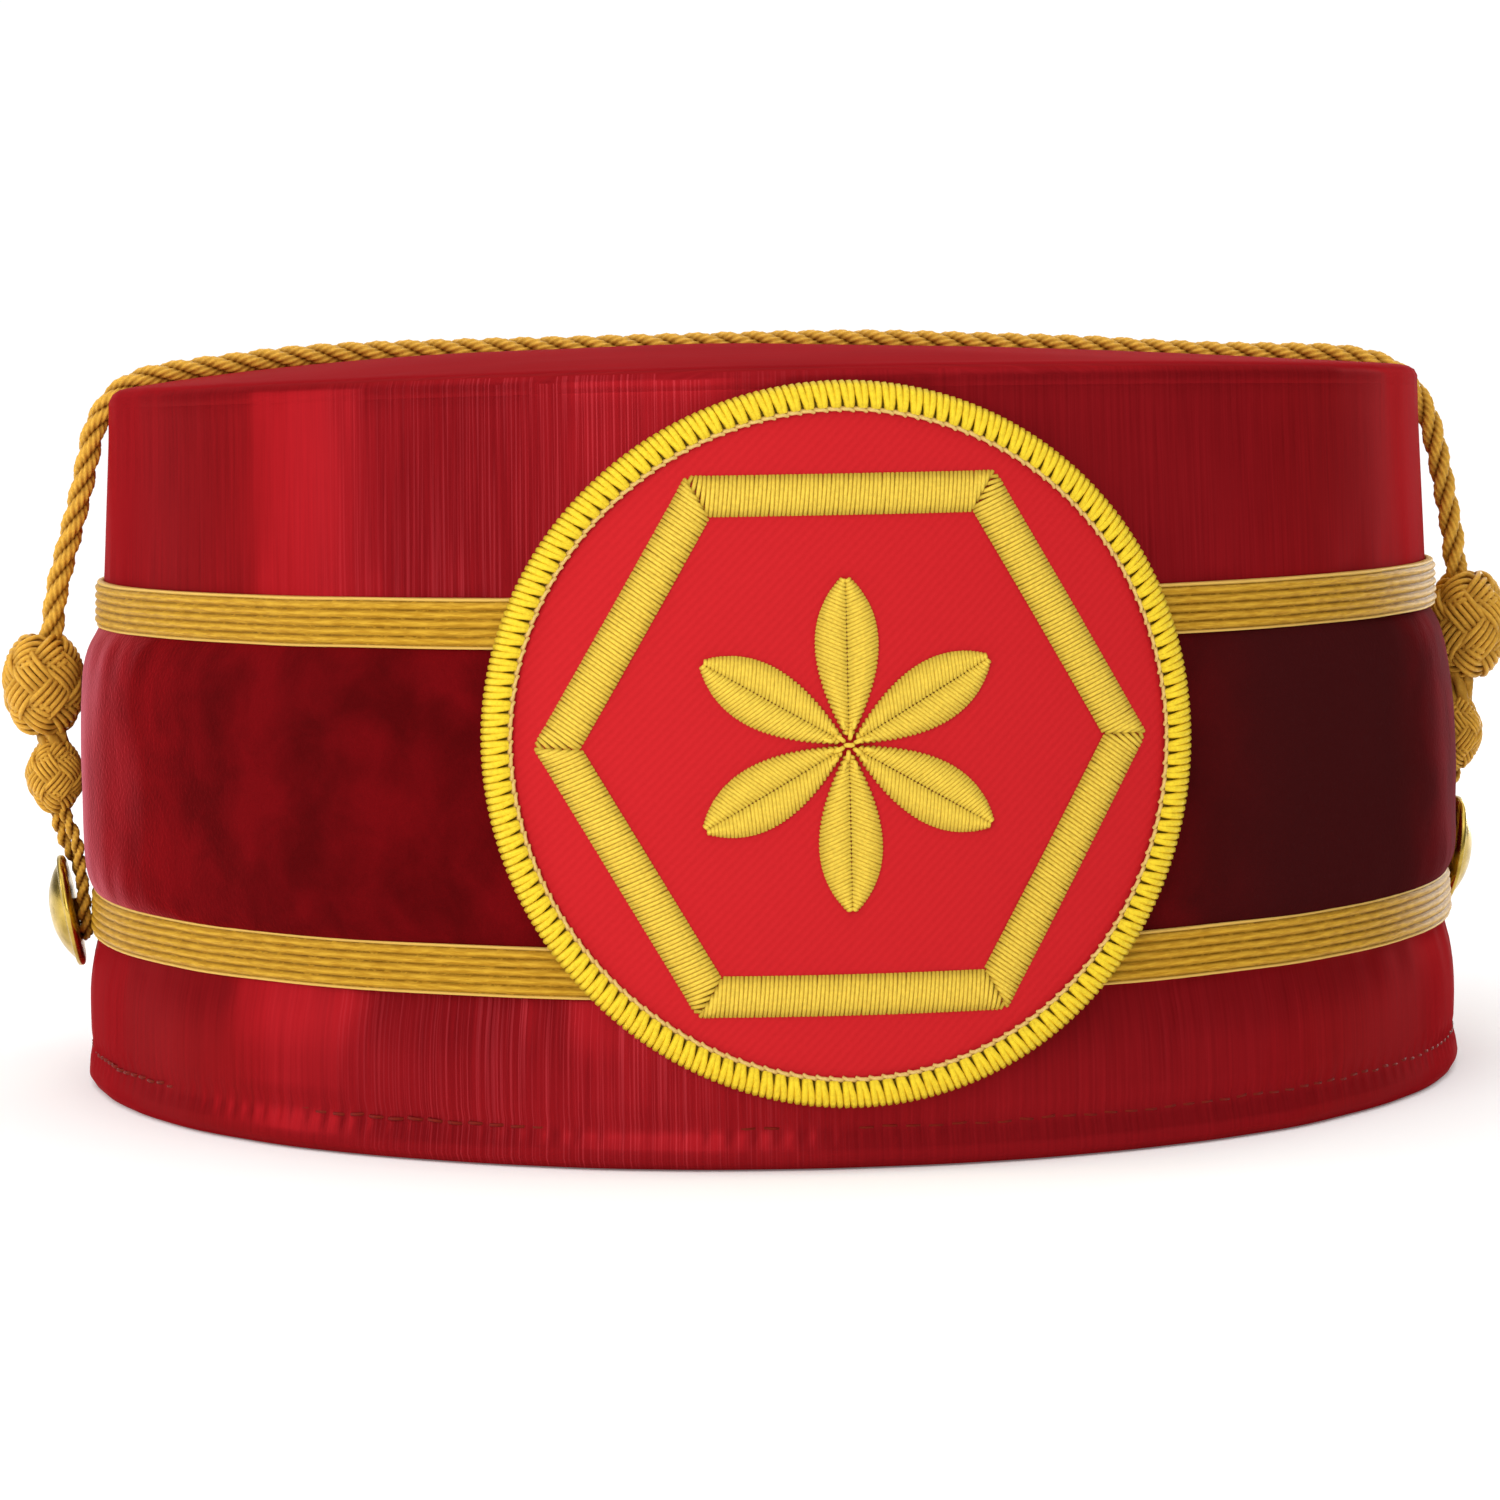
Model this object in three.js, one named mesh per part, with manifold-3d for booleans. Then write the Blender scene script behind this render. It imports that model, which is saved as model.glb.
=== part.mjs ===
// Ceremonial crown cap: an oval, flat-topped satin cap with a velvet band between two
// gold braids, a round embroidered badge on the front, and a twisted cord laid over the
// top, which ends at each side in two woven knots and a loop on a gilt button.
// Millimetres, +Z up. The origin is the middle of the head oval, on the rim's plane.
// The badge faces -Y. Left (-X) and right (+X) are as seen from the front.

import * as THREE from 'three';
import { mergeVertices } from 'three/addons/utils/BufferGeometryUtils.js';
import Module from 'manifold-3d';

const wasm = await Module();
wasm.setup();

// Head oval and cloth
const LENGTH_RATIO = 1.16;      // length of the oval over its width
const OVAL_SEGMENTS = 60;
const WALL = 2.4;               // satin over stiffener
const GAP = 0.3;                // clearance between neighbouring pieces
const SEAM_Z = 87.5;            // where the top panel meets the side wall
const WALL_TOP = SEAM_Z - 0.5;  // the wall stops just under the seam

// Outer half-width of the side wall, from the hem to the seam under the top panel
const WALL_SECTIONS = [
  { z: 0, half: 85.5 },
  { z: 1, half: 86.1 },
  { z: 4.6, half: 85.7 },       // hem stitching pulls the cloth in
  { z: 12, half: 85.7 },
  { z: 17.9, half: 84.45 },     // tucked in at the lower braid
  { z: 24.9, half: 84.1 },
  { z: 59.7, half: 82.8 },
  { z: 75, half: 82.35 },
  { z: WALL_TOP, half: 82 },
];
const WALL_INSIDE_Z = [WALL_TOP, 59.7, 17.9, 0];

// Top panel: half-width and height from the seam over the shoulder to the middle
const PANEL_OUTSIDE = [
  { half: 82, z: SEAM_Z },
  { half: 81.9, z: 87.75 },
  { half: 80, z: 88 },
  { half: 77, z: 88.2 },
  { half: 72, z: 88.5 },
  { half: 62, z: 89 },
  { half: 40, z: 89.8 },
  { half: 20, z: 90.35 },
  { half: 0, z: 90.6 },
];
const PANEL_INSIDE = [
  { half: 0, z: 88 },
  { half: 30, z: 88 },
  { half: 62, z: 87.4 },
  { half: 74, z: 86.9 },
  { half: 79.6, z: SEAM_Z },
];
const SADDLE = { side: 1.8, front: 0.6, from: 62 }; // how far the top sinks, and above what height
const LEAN = 0.018;                                 // the crown of the top stands a little to the left

// The cord presses a soft groove into the top, here from left to right, and pulls the top edge inwards
const CORD_PRESS = [
  { x: -82, depth: 3.1 },
  { x: -80, depth: 2.25 },
  { x: -77, depth: 1 },
  { x: -72, depth: 0.8 },
  { x: -62, depth: 0.8 },
  { x: -54, depth: 0.9 },
  { x: -40, depth: 1.4 },
  { x: -20, depth: 2 },
  { x: 0, depth: 1.8 },
  { x: 20, depth: 1.45 },
  { x: 40, depth: 1.25 },
  { x: 57, depth: 1.4 },
  { x: 72, depth: 0.95 },
  { x: 77, depth: 1.1 },
  { x: 80, depth: 2 },
  { x: 82, depth: 2.75 },
];
const PRESS_WIDTH = 9;
const EDGE_PULL = { left: 1.3, right: 0.4, from: 72, to: 82 };

// Velvet band, puffed out between the braids and pressed flat by the badge and the knots
const VELVET_SECTIONS = [
  { z: 24.65, half: 84.9 },
  { z: 27, half: 85.6 },
  { z: 31, half: 86 },
  { z: 40, half: 86.2 },
  { z: 48, half: 85.9 },
  { z: 53, half: 85 },
  { z: 56.55, half: 83.6 },
];
const FRONT_PRESS = { share: 0.64, from: 40, to: 56 };
const SIDE_PRESS = { share: 0.36, from: 2, to: 10 };

// Flat gold braids
const BRAID = { width: 5.7, stand: 1.2, edge: 0.6 };
const BRAIDS = [
  { name: 'upper_braid', z: 59.7 },
  { name: 'lower_braid', z: 21.5 },
];

// Round badge: a twill disc, its overlocked border and the raised needlework
const BADGE = { z: 46.4, radius: 39.2, cloth: 1.2, edge: 1.9, segments: 40, borderSegments: 48 };
const BADGE_RINGS = [9.5, 19, 28.5];
const BADGE_SEAT = [
  { z: 6, half: 86.1 },
  { z: 18, half: 86.05 },
  { z: 61, half: 84.45 },
  { z: 87, half: 82.5 },
];
const BORDER_SECTION = [
  { inset: 3.2, height: 1.5 },
  { inset: 1.6, height: 1.5 },
  { inset: 1.6, height: 0 },
  { inset: 0.4, height: 0 },
  { inset: 0, height: 0.9 },
  { inset: 0.3, height: 1.7 },
  { inset: 1.2, height: 2.3 },
  { inset: 2.6, height: 2.1 },
];
const NEEDLEWORK = { from: 1.5, to: 2.1 };          // heights off the badge's back
const HEXAGON = { apothem: 29.2, bar: 4.3, segments: 48 };
const ROSETTE = { petals: 6, inner: 1.6, length: 17.5, width: 6.6, boss: 3.2, sides: 12 };

// Twisted cord over the top, from the left upper knot to the right one
const CORD = { diameter: 3, sides: 8, steps: 76 };
const CORD_ROUTE = [
  { x: -89.4, z: 56.4 },
  { x: -88.8, z: 60.5 },
  { x: -88, z: 63.9 },
  { x: -87, z: 67.4 },
  { x: -86.1, z: 70.7 },
  { x: -85.2, z: 74.1 },
  { x: -84.4, z: 77.6 },
  { x: -83.6, z: 81 },
  { x: -82.9, z: 82.6 },
  { x: -82, z: 84 },
  { x: -80.9, z: 85.3 },
  { x: -79.5, z: 86.4 },
  { x: -77.6, z: 87.3 },
  { x: -75, z: 87.9 },
  { x: -71.5, z: 88.4 },
  { x: -66, z: 89 },
  { x: -60.5, z: 89.6 },
  { x: -54, z: 90 },
  { x: -46, z: 90.2 },
  { x: -21, z: 90.4 },
  { x: 4, z: 90.6 },
  { x: 15, z: 90.5 },
  { x: 25, z: 90.1 },
  { x: 42, z: 89.3 },
  { x: 49, z: 88.8 },
  { x: 57, z: 88.3 },
  { x: 66, z: 88 },
  { x: 72, z: 87.8 },
  { x: 76, z: 87.4 },
  { x: 79.3, z: 86.6 },
  { x: 81.2, z: 85.7 },
  { x: 82.7, z: 84.6 },
  { x: 84, z: 83 },
  { x: 85.1, z: 81.2 },
  { x: 86, z: 79 },
  { x: 86.8, z: 75.8 },
  { x: 87.5, z: 72.3 },
  { x: 88.1, z: 68.8 },
  { x: 88.8, z: 64.6 },
  { x: 89.2, z: 60.4 },
];

// Knots, loops and buttons at the two sides; the right set sits a little higher
const KNOTS = [
  { name: 'left_upper_knot', x: -90.6, z: 49.5, radius: 5.2, height: 12.8 },
  { name: 'left_lower_knot', x: -89.5, z: 38.05, radius: 3.8, height: 9.5 },
  { name: 'right_upper_knot', x: 90.6, z: 53, radius: 5.2, height: 13.8 },
  { name: 'right_lower_knot', x: 89.1, z: 39.4, radius: 3.4, height: 9.8 },
];
const SIDES = [                 // ends: where the two legs of the loop start under the lower knot
  { name: 'left', sign: -1, raise: 0, ends: [{ x: 89.5, y: 0.4, z: 32.7 }, { x: 88.2, y: -0.4, z: 32.7 }] },
  { name: 'right', sign: 1, raise: 3, ends: [{ x: 89, y: 0.8, z: 30.8 }, { x: 87.5, y: -0.8, z: 30.8 }] },
];
const KNOT_PROFILE = [
  { height: -1, share: 0.42 },
  { height: -0.86, share: 0.66 },
  { height: -0.5, share: 0.92 },
  { height: 0, share: 1 },
  { height: 0.5, share: 0.92 },
  { height: 0.86, share: 0.66 },
  { height: 1, share: 0.42 },
];
const KNOT_SIDES = 14;
const BUTTON = { x: 87.6, z: 21.1, radius: 7.1, shank: 1.4, stand: 1.6, tilt: 8, sides: 20 };
const BUTTON_PROFILE = [        // share of the button's radius, and height off its back
  { share: 0.9, height: 0 },
  { share: 1, height: 0.4 },
  { share: 1, height: 0.9 },
  { share: 0.94, height: 1.5 },
  { share: 0.8, height: 2.3 },
  { share: 0.58, height: 2.9 },
  { share: 0.3, height: 3.2 },
  { share: 0, height: 3.3 },
];
const LOOP = { diameter: 1.1, sides: 8, steps: 26 };
const LOOP_ROUTE = [
  { x: 88.6, y: 1.2, z: 29.6 },
  { x: 87, y: 2.6, z: 26 },
  { x: 86.35, y: 2.6, z: 21 },
  { x: 86.3, y: 0, z: 18.5 },
  { x: 86.35, y: -2.6, z: 21 },
  { x: 86.6, y: -2.6, z: 26 },
  { x: 87, y: -1.2, z: 29.6 },
];

// Finishes
const finish = (color, roughness, metalness = 0) =>
  new THREE.MeshStandardMaterial({ color, roughness, metalness });
const SATIN = finish('#96181e', 0.42);
const VELVET = finish('#6c0a10', 0.9);
const BRAID_GOLD = finish('#c4932a', 0.6);
const TWILL = finish('#c92429', 0.8);
const THREAD_GOLD = finish('#e8c43e', 0.55);
const CORD_GOLD = finish('#cf9a2f', 0.5);
const GILT = finish('#b8954a', 0.25, 1);

// Straight-line reading of a table, from the column that it is keyed on
const readTable = (rows, key, column, at) => {
  const next = rows.findIndex((row) => row[key] >= at);
  if (next === 0) return rows[0][column];
  if (next === -1) return rows.at(-1)[column];
  const low = rows[next - 1];
  const high = rows[next];
  const share = (at - low[key]) / (high[key] - low[key]);
  return low[column] + share * (high[column] - low[column]);
};
const wallHalf = (z) => readTable(WALL_SECTIONS, 'z', 'half', z);

// Moves every vertex of a geometry by a rule on its place
const warp = (geometry, rule) => {
  const place = geometry.attributes.position;
  const point = new THREE.Vector3();
  for (let i = 0; i < place.count; i += 1) {
    rule(point.fromBufferAttribute(place, i));
    place.setXYZ(i, point.x, point.y, point.z);
  }
  return geometry;
};

// A profile of half-widths and heights swept round the head oval
const sweepOval = (profile) => {
  const points = profile.map(({ half, z }) => new THREE.Vector2(half, z));
  const lathe = new THREE.LatheGeometry(points, OVAL_SEGMENTS);
  return lathe.rotateX(Math.PI / 2).scale(1, LENGTH_RATIO, 1);
};
const closeLoop = (rows) => [...rows, rows[0]];

// Half-width of the oval that passes through a point
const ovalHalf = ({ x, y }) => Math.hypot(x, y / LENGTH_RATIO);

// How far the saddle of the top lowers a point of full height
const saddleDrop = ({ x, y }) =>
  (SADDLE.side * x ** 2 + SADDLE.front * (y / LENGTH_RATIO) ** 2) / PANEL_OUTSIDE[0].half ** 2;

// How far the cord over the top presses the cloth down at a point, and pulls it towards the middle
const pressShare = (y) => Math.exp(-((y / PRESS_WIDTH) ** 2));
const cordPress = ({ x, y }) => readTable(CORD_PRESS, 'x', 'depth', x) * pressShare(y);
const edgePull = ({ x, y }) => {
  const most = x < 0 ? EDGE_PULL.left : -EDGE_PULL.right;
  return most * THREE.MathUtils.smoothstep(Math.abs(x), EDGE_PULL.from, EDGE_PULL.to) * pressShare(y);
};

// Side wall: an open oval tube, sinking at the sides with the saddle of the top
function sideWall() {
  const inside = WALL_INSIDE_Z.map((z) => ({ z, half: wallHalf(z) - WALL }));
  const wall = sweepOval(closeLoop([...WALL_SECTIONS, ...inside]));
  const reach = WALL_SECTIONS.at(-1).z - SADDLE.from;
  return warp(wall, (point) => {
    const share = Math.max(0, (point.z - SADDLE.from) / reach);
    point.z -= share * (saddleDrop(point) + cordPress(point));
    point.x += share ** 4 * edgePull(point);
  });
}

// Top panel: a puffed oval sheet with a soft groove under the cord
function topPanel() {
  const panel = sweepOval([...PANEL_INSIDE, ...PANEL_OUTSIDE]);
  const edge = PANEL_INSIDE.at(-1).half;
  return warp(panel, (point) => {
    const middle = Math.max(0, 1 - (ovalHalf(point) / edge) ** 2);
    point.z -= saddleDrop(point) + LEAN * point.x * middle + cordPress(point);
    point.x += edgePull(point);
  });
}

// Velvet band: a puffed sleeve round the wall
function velvetBand() {
  const ends = [VELVET_SECTIONS.at(-1), VELVET_SECTIONS[0]];
  const inside = ends.map(({ z }) => ({ z, half: wallHalf(z) + GAP }));
  const band = sweepOval(closeLoop([...VELVET_SECTIONS, ...inside]));
  const fadeOut = (distance, { from, to }) => 1 - THREE.MathUtils.smoothstep(distance, from, to);
  return warp(band, (point) => {
    const base = wallHalf(point.z) + GAP;
    const half = ovalHalf(point);
    const front = point.y < 0 ? FRONT_PRESS.share * fadeOut(Math.abs(point.x), FRONT_PRESS) : 0;
    const side = SIDE_PRESS.share * fadeOut(Math.abs(point.y), SIDE_PRESS);
    const kept = base + Math.max(0, half - base) * (1 - Math.max(front, side));
    point.x *= kept / half;
    point.y *= kept / half;
  });
}

// Flat braid with softened edges, lying on the wall
function flatBraid(z) {
  const low = z - BRAID.width / 2;
  const high = z + BRAID.width / 2;
  const soft = BRAID.stand - BRAID.edge;
  const rows = [
    { z: low, half: wallHalf(low) + GAP },
    { z: low, half: wallHalf(low) + BRAID.edge },
    { z: low + soft, half: wallHalf(low) + BRAID.stand },
    { z: high - soft, half: wallHalf(high) + BRAID.stand },
    { z: high, half: wallHalf(high) + BRAID.edge },
    { z: high, half: wallHalf(high) + GAP },
  ];
  return sweepOval(closeLoop(rows));
}

// Lays a flat shape, drawn in x and z with its height along y, on the front of the cap
const layOnFront = (geometry) => warp(geometry, (point) => {
  const across = -point.x;
  const z = BADGE.z + point.z;
  const half = readTable(BADGE_SEAT, 'z', 'half', z) + point.y / LENGTH_RATIO;
  point.set(across, -LENGTH_RATIO * Math.sqrt(half ** 2 - across ** 2), z);
});

// A flat-lying round shape from a profile of radii and heights
const turn = (profile, segments) => {
  const points = profile.map(([radius, height]) => new THREE.Vector2(radius, height));
  return new THREE.LatheGeometry(points, segments);
};

function badgeCloth() {
  const radii = [0, ...BADGE_RINGS, BADGE.radius - BADGE.edge];
  const back = radii.map((radius) => [radius, 0]);
  const front = radii.toReversed().map((radius) => [radius, BADGE.cloth]);
  return layOnFront(turn([...back, ...front], BADGE.segments));
}

function badgeBorder() {
  const rows = BORDER_SECTION.map(({ inset, height }) => [BADGE.radius - inset, height]);
  return layOnFront(turn(closeLoop(rows), BADGE.borderSegments));
}

// Six straight bars of needlework round the middle of the badge
function hexagonFrame() {
  const inner = HEXAGON.apothem - HEXAGON.bar;
  const rows = [
    [inner, NEEDLEWORK.from],
    [HEXAGON.apothem, NEEDLEWORK.from],
    [HEXAGON.apothem, NEEDLEWORK.to],
    [inner, NEEDLEWORK.to],
  ];
  const sixth = Math.PI / 3;
  const bars = warp(turn(closeLoop(rows), HEXAGON.segments), (point) => {
    const angle = Math.atan2(point.z, point.x) + 2 * Math.PI;
    const stretch = 1 / Math.cos((angle % sixth) - sixth / 2);
    point.x *= stretch;
    point.z *= stretch;
  });
  return layOnFront(bars);
}

// Joins solids that overlap into one
const toSolid = (geometry) => {
  geometry.deleteAttribute('normal');
  geometry.deleteAttribute('uv');
  const merged = mergeVertices(geometry, 1e-4);
  const vertProperties = Float32Array.from(merged.attributes.position.array);
  const triVerts = Uint32Array.from(merged.index.array);
  return new wasm.Manifold(new wasm.Mesh({ numProp: 3, vertProperties, triVerts }));
};
const toGeometry = (solid) => {
  const { vertProperties, triVerts } = solid.getMesh();
  const geometry = new THREE.BufferGeometry();
  geometry.setAttribute('position', new THREE.BufferAttribute(vertProperties, 3));
  geometry.setIndex(new THREE.BufferAttribute(triVerts, 1));
  return geometry;
};

// A rosette of pointed petals round a small boss
function rosette() {
  const { from, to } = NEEDLEWORK;
  const disc = (radius) => turn([[0, from], [radius / 2, from], [radius, from], [radius, to],
    [radius / 2, to], [0, to]], ROSETTE.sides);
  const petal = (turnAngle) => warp(disc(1), (point) => {
    const across = point.x * Math.sqrt(Math.max(0, 1 - point.z ** 2)) * ROSETTE.width / 2;
    const along = ROSETTE.inner + (1 + point.z) * ROSETTE.length / 2;
    point.x = across * Math.cos(turnAngle) + along * Math.sin(turnAngle);
    point.z = along * Math.cos(turnAngle) - across * Math.sin(turnAngle);
  });
  let solid = toSolid(disc(ROSETTE.boss));
  for (let i = 0; i < ROSETTE.petals; i += 1) {
    solid = solid.add(toSolid(petal((i * 2 * Math.PI) / ROSETTE.petals)));
  }
  return layOnFront(toGeometry(solid));
}

// A round cord along a smooth curve through the points of its route
function cordAlong(route, { diameter, sides, steps }) {
  const curve = new THREE.CatmullRomCurve3(route.map(({ x, y = 0, z }) => new THREE.Vector3(x, y, z)));
  const corners = Array.from({ length: sides }, (_, i) => {
    const angle = (2 * Math.PI * i) / sides;
    return new THREE.Vector2(Math.cos(angle), Math.sin(angle)).multiplyScalar(diameter / 2);
  });
  const options = { steps, extrudePath: curve, bevelEnabled: false };
  return new THREE.ExtrudeGeometry(new THREE.Shape(corners), options);
}

// Outer form of a woven knot, standing on its own middle
function wovenKnot({ radius, height }) {
  const rows = KNOT_PROFILE.map((row) => [radius * row.share, (row.height * height) / 2]);
  const closed = [[0, rows[0][1]], ...rows, [0, rows.at(-1)[1]]];
  return turn(closed, KNOT_SIDES).rotateX(Math.PI / 2);
}

// Domed shell button with its shank, facing out along +Z from the middle of its back
function shellButton() {
  const { radius, shank, stand, sides } = BUTTON;
  const shell = BUTTON_PROFILE.map(({ share, height }) => [radius * share, height]);
  const profile = [[0, -stand], [shank, -stand], [shank, 0], ...shell];
  return turn(profile, sides).rotateX(Math.PI / 2);
}

const cap = new THREE.Group();
const addPiece = (name, geometry, material, parent = cap) => {
  const piece = new THREE.Mesh(geometry, material);
  piece.name = name;
  parent.add(piece);
  return piece;
};

addPiece('side_wall', sideWall(), SATIN);
addPiece('top_panel', topPanel(), SATIN);
addPiece('velvet_band', velvetBand(), VELVET);
for (const { name, z } of BRAIDS) addPiece(name, flatBraid(z), BRAID_GOLD);

addPiece('badge_cloth', badgeCloth(), TWILL);
addPiece('badge_border', badgeBorder(), THREAD_GOLD);
addPiece('badge_hexagon', hexagonFrame(), THREAD_GOLD);
addPiece('badge_rosette', rosette(), THREAD_GOLD);

addPiece('cap_cord', cordAlong(CORD_ROUTE, CORD), CORD_GOLD);
for (const knot of KNOTS) {
  addPiece(knot.name, wovenKnot(knot), CORD_GOLD).position.set(knot.x, 0, knot.z);
}
for (const { name: side, sign, raise, ends } of SIDES) {
  const set = new THREE.Group();
  set.position.z = raise;
  cap.add(set);
  const route = [ends[0], ...LOOP_ROUTE, ends[1]].map(({ x, y, z }) => ({ x: sign * x, y, z }));
  addPiece(`${side}_loop`, cordAlong(route, LOOP), CORD_GOLD, set);
  const button = addPiece(`${side}_button`, shellButton(), GILT, set);
  button.position.set(sign * BUTTON.x, 0, BUTTON.z);
  button.rotation.y = sign * THREE.MathUtils.degToRad(90 + BUTTON.tilt);
}

export default cap;
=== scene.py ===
"""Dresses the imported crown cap: satin shell, velvet band, gold braids, needlework badge, cord and buttons."""

import logging
import math
import random
from dataclasses import dataclass
from enum import Enum
from functools import partial
from typing import Callable, Sequence

import bmesh
import bpy
from bmesh.types import BMesh, BMVert
from bpy.types import ID, Material, Mesh, Node, NodeSocket, NodeTree, Object
from mathutils import Matrix, Vector, noise
from mathutils.kdtree import KDTree


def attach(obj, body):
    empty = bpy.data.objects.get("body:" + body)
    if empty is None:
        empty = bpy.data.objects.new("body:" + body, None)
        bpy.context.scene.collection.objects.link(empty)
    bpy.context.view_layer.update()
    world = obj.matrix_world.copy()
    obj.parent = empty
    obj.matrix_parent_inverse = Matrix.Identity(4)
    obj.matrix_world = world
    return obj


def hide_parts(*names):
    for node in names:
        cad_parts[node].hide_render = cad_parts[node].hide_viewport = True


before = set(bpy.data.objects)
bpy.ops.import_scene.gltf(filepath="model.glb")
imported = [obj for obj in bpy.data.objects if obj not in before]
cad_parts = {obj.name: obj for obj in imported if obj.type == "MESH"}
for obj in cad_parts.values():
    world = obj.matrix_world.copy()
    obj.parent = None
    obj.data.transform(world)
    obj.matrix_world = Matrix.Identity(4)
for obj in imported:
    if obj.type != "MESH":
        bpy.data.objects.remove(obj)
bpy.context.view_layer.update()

MM = 0.001
BODY = "root"
# The head oval is this much longer from front to back than it is wide.
LENGTH_RATIO = 1.16
# Mean radius that turns an angle round the oval into a length of cloth, in mm.
MEAN_RADIUS = 92.0
# Wave texture bands repeat every 2 pi / 20 units, so this scale repeats them every unit.
ONE_BAND = math.tau / 20
# A spun shape is made of this many equal arcs, and points closer than WELD mm become one.
ARCS = 16
WELD = 0.002
# A smooth path is drawn with this many fine steps between two given points.
FINE_STEPS = 32
# How far a ridged section's yarns stand out, as a share of its radius.
RIDGE = 0.12
# How many points a single thread has round its section.
THREAD_SIDES = 6
LOG = logging.getLogger("crown_cap")

Pair = tuple[float, float]
Rows = Sequence[Pair]
Point3 = tuple[float, float, float]
Line = Sequence[Vector]
Adder = Callable[..., Node]


class Slot(Enum):
    """The record's material slots."""

    SATIN = "satin"
    VELVET = "velvet"
    BRAID = "braid"
    TWILL = "badge_twill"
    THREAD = "badge_thread"
    CORD = "cord"
    GILT = "gilt"


class Side(Enum):
    """The cap's two sides as the front view shows them; the value is the sign of X."""

    LEFT = -1
    RIGHT = 1

    @property
    def label(self) -> str:
        """The side's name in piece names."""
        return self.name.lower()

    @property
    def lift(self) -> float:
        """How much higher this side's loop and button sit, in mm."""
        return 3.0 if self is Side.RIGHT else 0.0


class Held(Enum):
    """How a sheet of cloth is held."""

    STRETCHED = "stretched"
    LAID = "laid"


def linear(code: str) -> tuple[float, float, float, float]:
    """Turns an sRGB hex colour into linear RGBA.

    Args:
        code: The colour as #rrggbb.

    Returns:
        The linear colour with full alpha.
    """
    parts = [int(code[i : i + 2], 16) / 255 for i in (1, 3, 5)]
    red, green, blue = (p / 12.92 if p <= 0.04045 else ((p + 0.055) / 1.055) ** 2.4 for p in parts)
    return red, green, blue, 1.0


def feed(node: Node, inputs: dict) -> None:
    """Gives a node its inputs.

    Args:
        node: The node.
        inputs: Socket name or number to a value, a hex colour, an output socket, or a node whose first
            output in use feeds it.
    """
    for socket, value in inputs.items():
        if isinstance(value, str):
            value = linear(value)
        elif isinstance(value, Node):
            value = next(output for output in value.outputs if output.enabled)
        if isinstance(value, NodeSocket):
            node.id_data.links.new(value, node.inputs[socket])
        else:
            node.inputs[socket].default_value = value


def add_node(tree: NodeTree, kind: str, inputs: dict | None = None, **settings) -> Node:
    """Adds a node with its settings, input values and links.

    Args:
        tree: The node tree that gets it.
        kind: The node's type name, without the ShaderNode in front.
        inputs: What its inputs get, as in feed.
        settings: The node's own properties.

    Returns:
        The new node.
    """
    node = tree.nodes.new(f"ShaderNode{kind}")
    for name, value in settings.items():
        setattr(node, name, value)
    feed(node, inputs or {})
    return node


def add_object(name: str, data: ID) -> Object:
    """Makes an object and puts it in the scene.

    Args:
        name: Its name.
        data: The mesh, curve, light or camera that it shows.

    Returns:
        The object.
    """
    made = bpy.data.objects.new(name, data)
    bpy.context.scene.collection.objects.link(made)
    return made


def smooth_path(points: Sequence[Sequence[float]], step: float) -> list[Vector]:
    """Draws a smooth curve through given points.

    Args:
        points: The points that the curve passes through.
        step: The spacing wanted along it.

    Returns:
        Evenly spaced points on a smooth curve that doesn't overshoot, both ends included.
    """
    given = [Vector(p) for p in points]
    line = [2 * given[0] - given[1], *given, 2 * given[-1] - given[-2]]
    dense = [given[0]]
    for before, start, end, after in zip(line, line[1:], line[2:], line[3:]):
        spans = ((before, start), (start, end), (end, after))
        first, middle, last = (math.sqrt((b - a).length) for a, b in spans)
        leave = (start - before) / first - (end - before) / (first + middle) + (end - start) / middle
        arrive = (end - start) / middle - (after - start) / (middle + last) + (after - end) / last
        for i in range(1, FINE_STEPS + 1):
            t = i / FINE_STEPS
            dense.append(
                start * (2 * t**3 - 3 * t**2 + 1)
                + leave * middle * (t**3 - 2 * t**2 + t)
                + end * (3 * t**2 - 2 * t**3)
                + arrive * middle * (t**3 - t**2)
            )
    return spaced(dense, step)


def smooth_profile(rows: Rows, step: float) -> list[Pair]:
    """Draws a smooth outline through (radius, height) rows, with points about a step apart."""
    return [(p.x, p.y) for p in smooth_path(rows, step)]


def spaced(line: Line, step: float) -> list[Vector]:
    """Spaces points evenly along a fine polyline.

    Args:
        line: The polyline.
        step: The spacing wanted.

    Returns:
        Evenly spaced points, both ends included.
    """
    run = [0.0]
    for a, b in zip(line, line[1:]):
        run.append(run[-1] + (b - a).length)
    count = max(2, round(run[-1] / step))
    made, k = [line[0].copy()], 0
    for i in range(1, count):
        wanted = run[-1] * i / count
        while run[k + 1] < wanted:
            k += 1
        made.append(line[k].lerp(line[k + 1], (wanted - run[k]) / max(run[k + 1] - run[k], 1e-12)))
    return [*made, line[-1].copy()]


def length_of(line: Line) -> float:
    """The length of a polyline."""
    return sum((b - a).length for a, b in zip(line, line[1:]))


def ease(value: float, low: float, high: float) -> float:
    """A smooth step from 0 at low to 1 at high."""
    t = min(1.0, max(0.0, (value - low) / (high - low)))
    return t * t * (3 - 2 * t)


def fade(distance: float, run: float) -> float:
    """A fade that starts at 1 and loses most of it over one run."""
    return math.exp(-max(0.0, distance) / run)


def bell(distance: float, width: float) -> float:
    """A soft bump of height 1, about twice its width across."""
    return math.exp(-((distance / width) ** 2))


def place_round(co: Vector) -> float:
    """A point's place round the oval, in mm from the front middle."""
    return math.atan2(co.x, -co.y) * MEAN_RADIUS


def widen(co: Vector, share: float) -> None:
    """Moves a point out from the upright axis, or in, to a share of its distance."""
    co.x *= share
    co.y *= share


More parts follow.
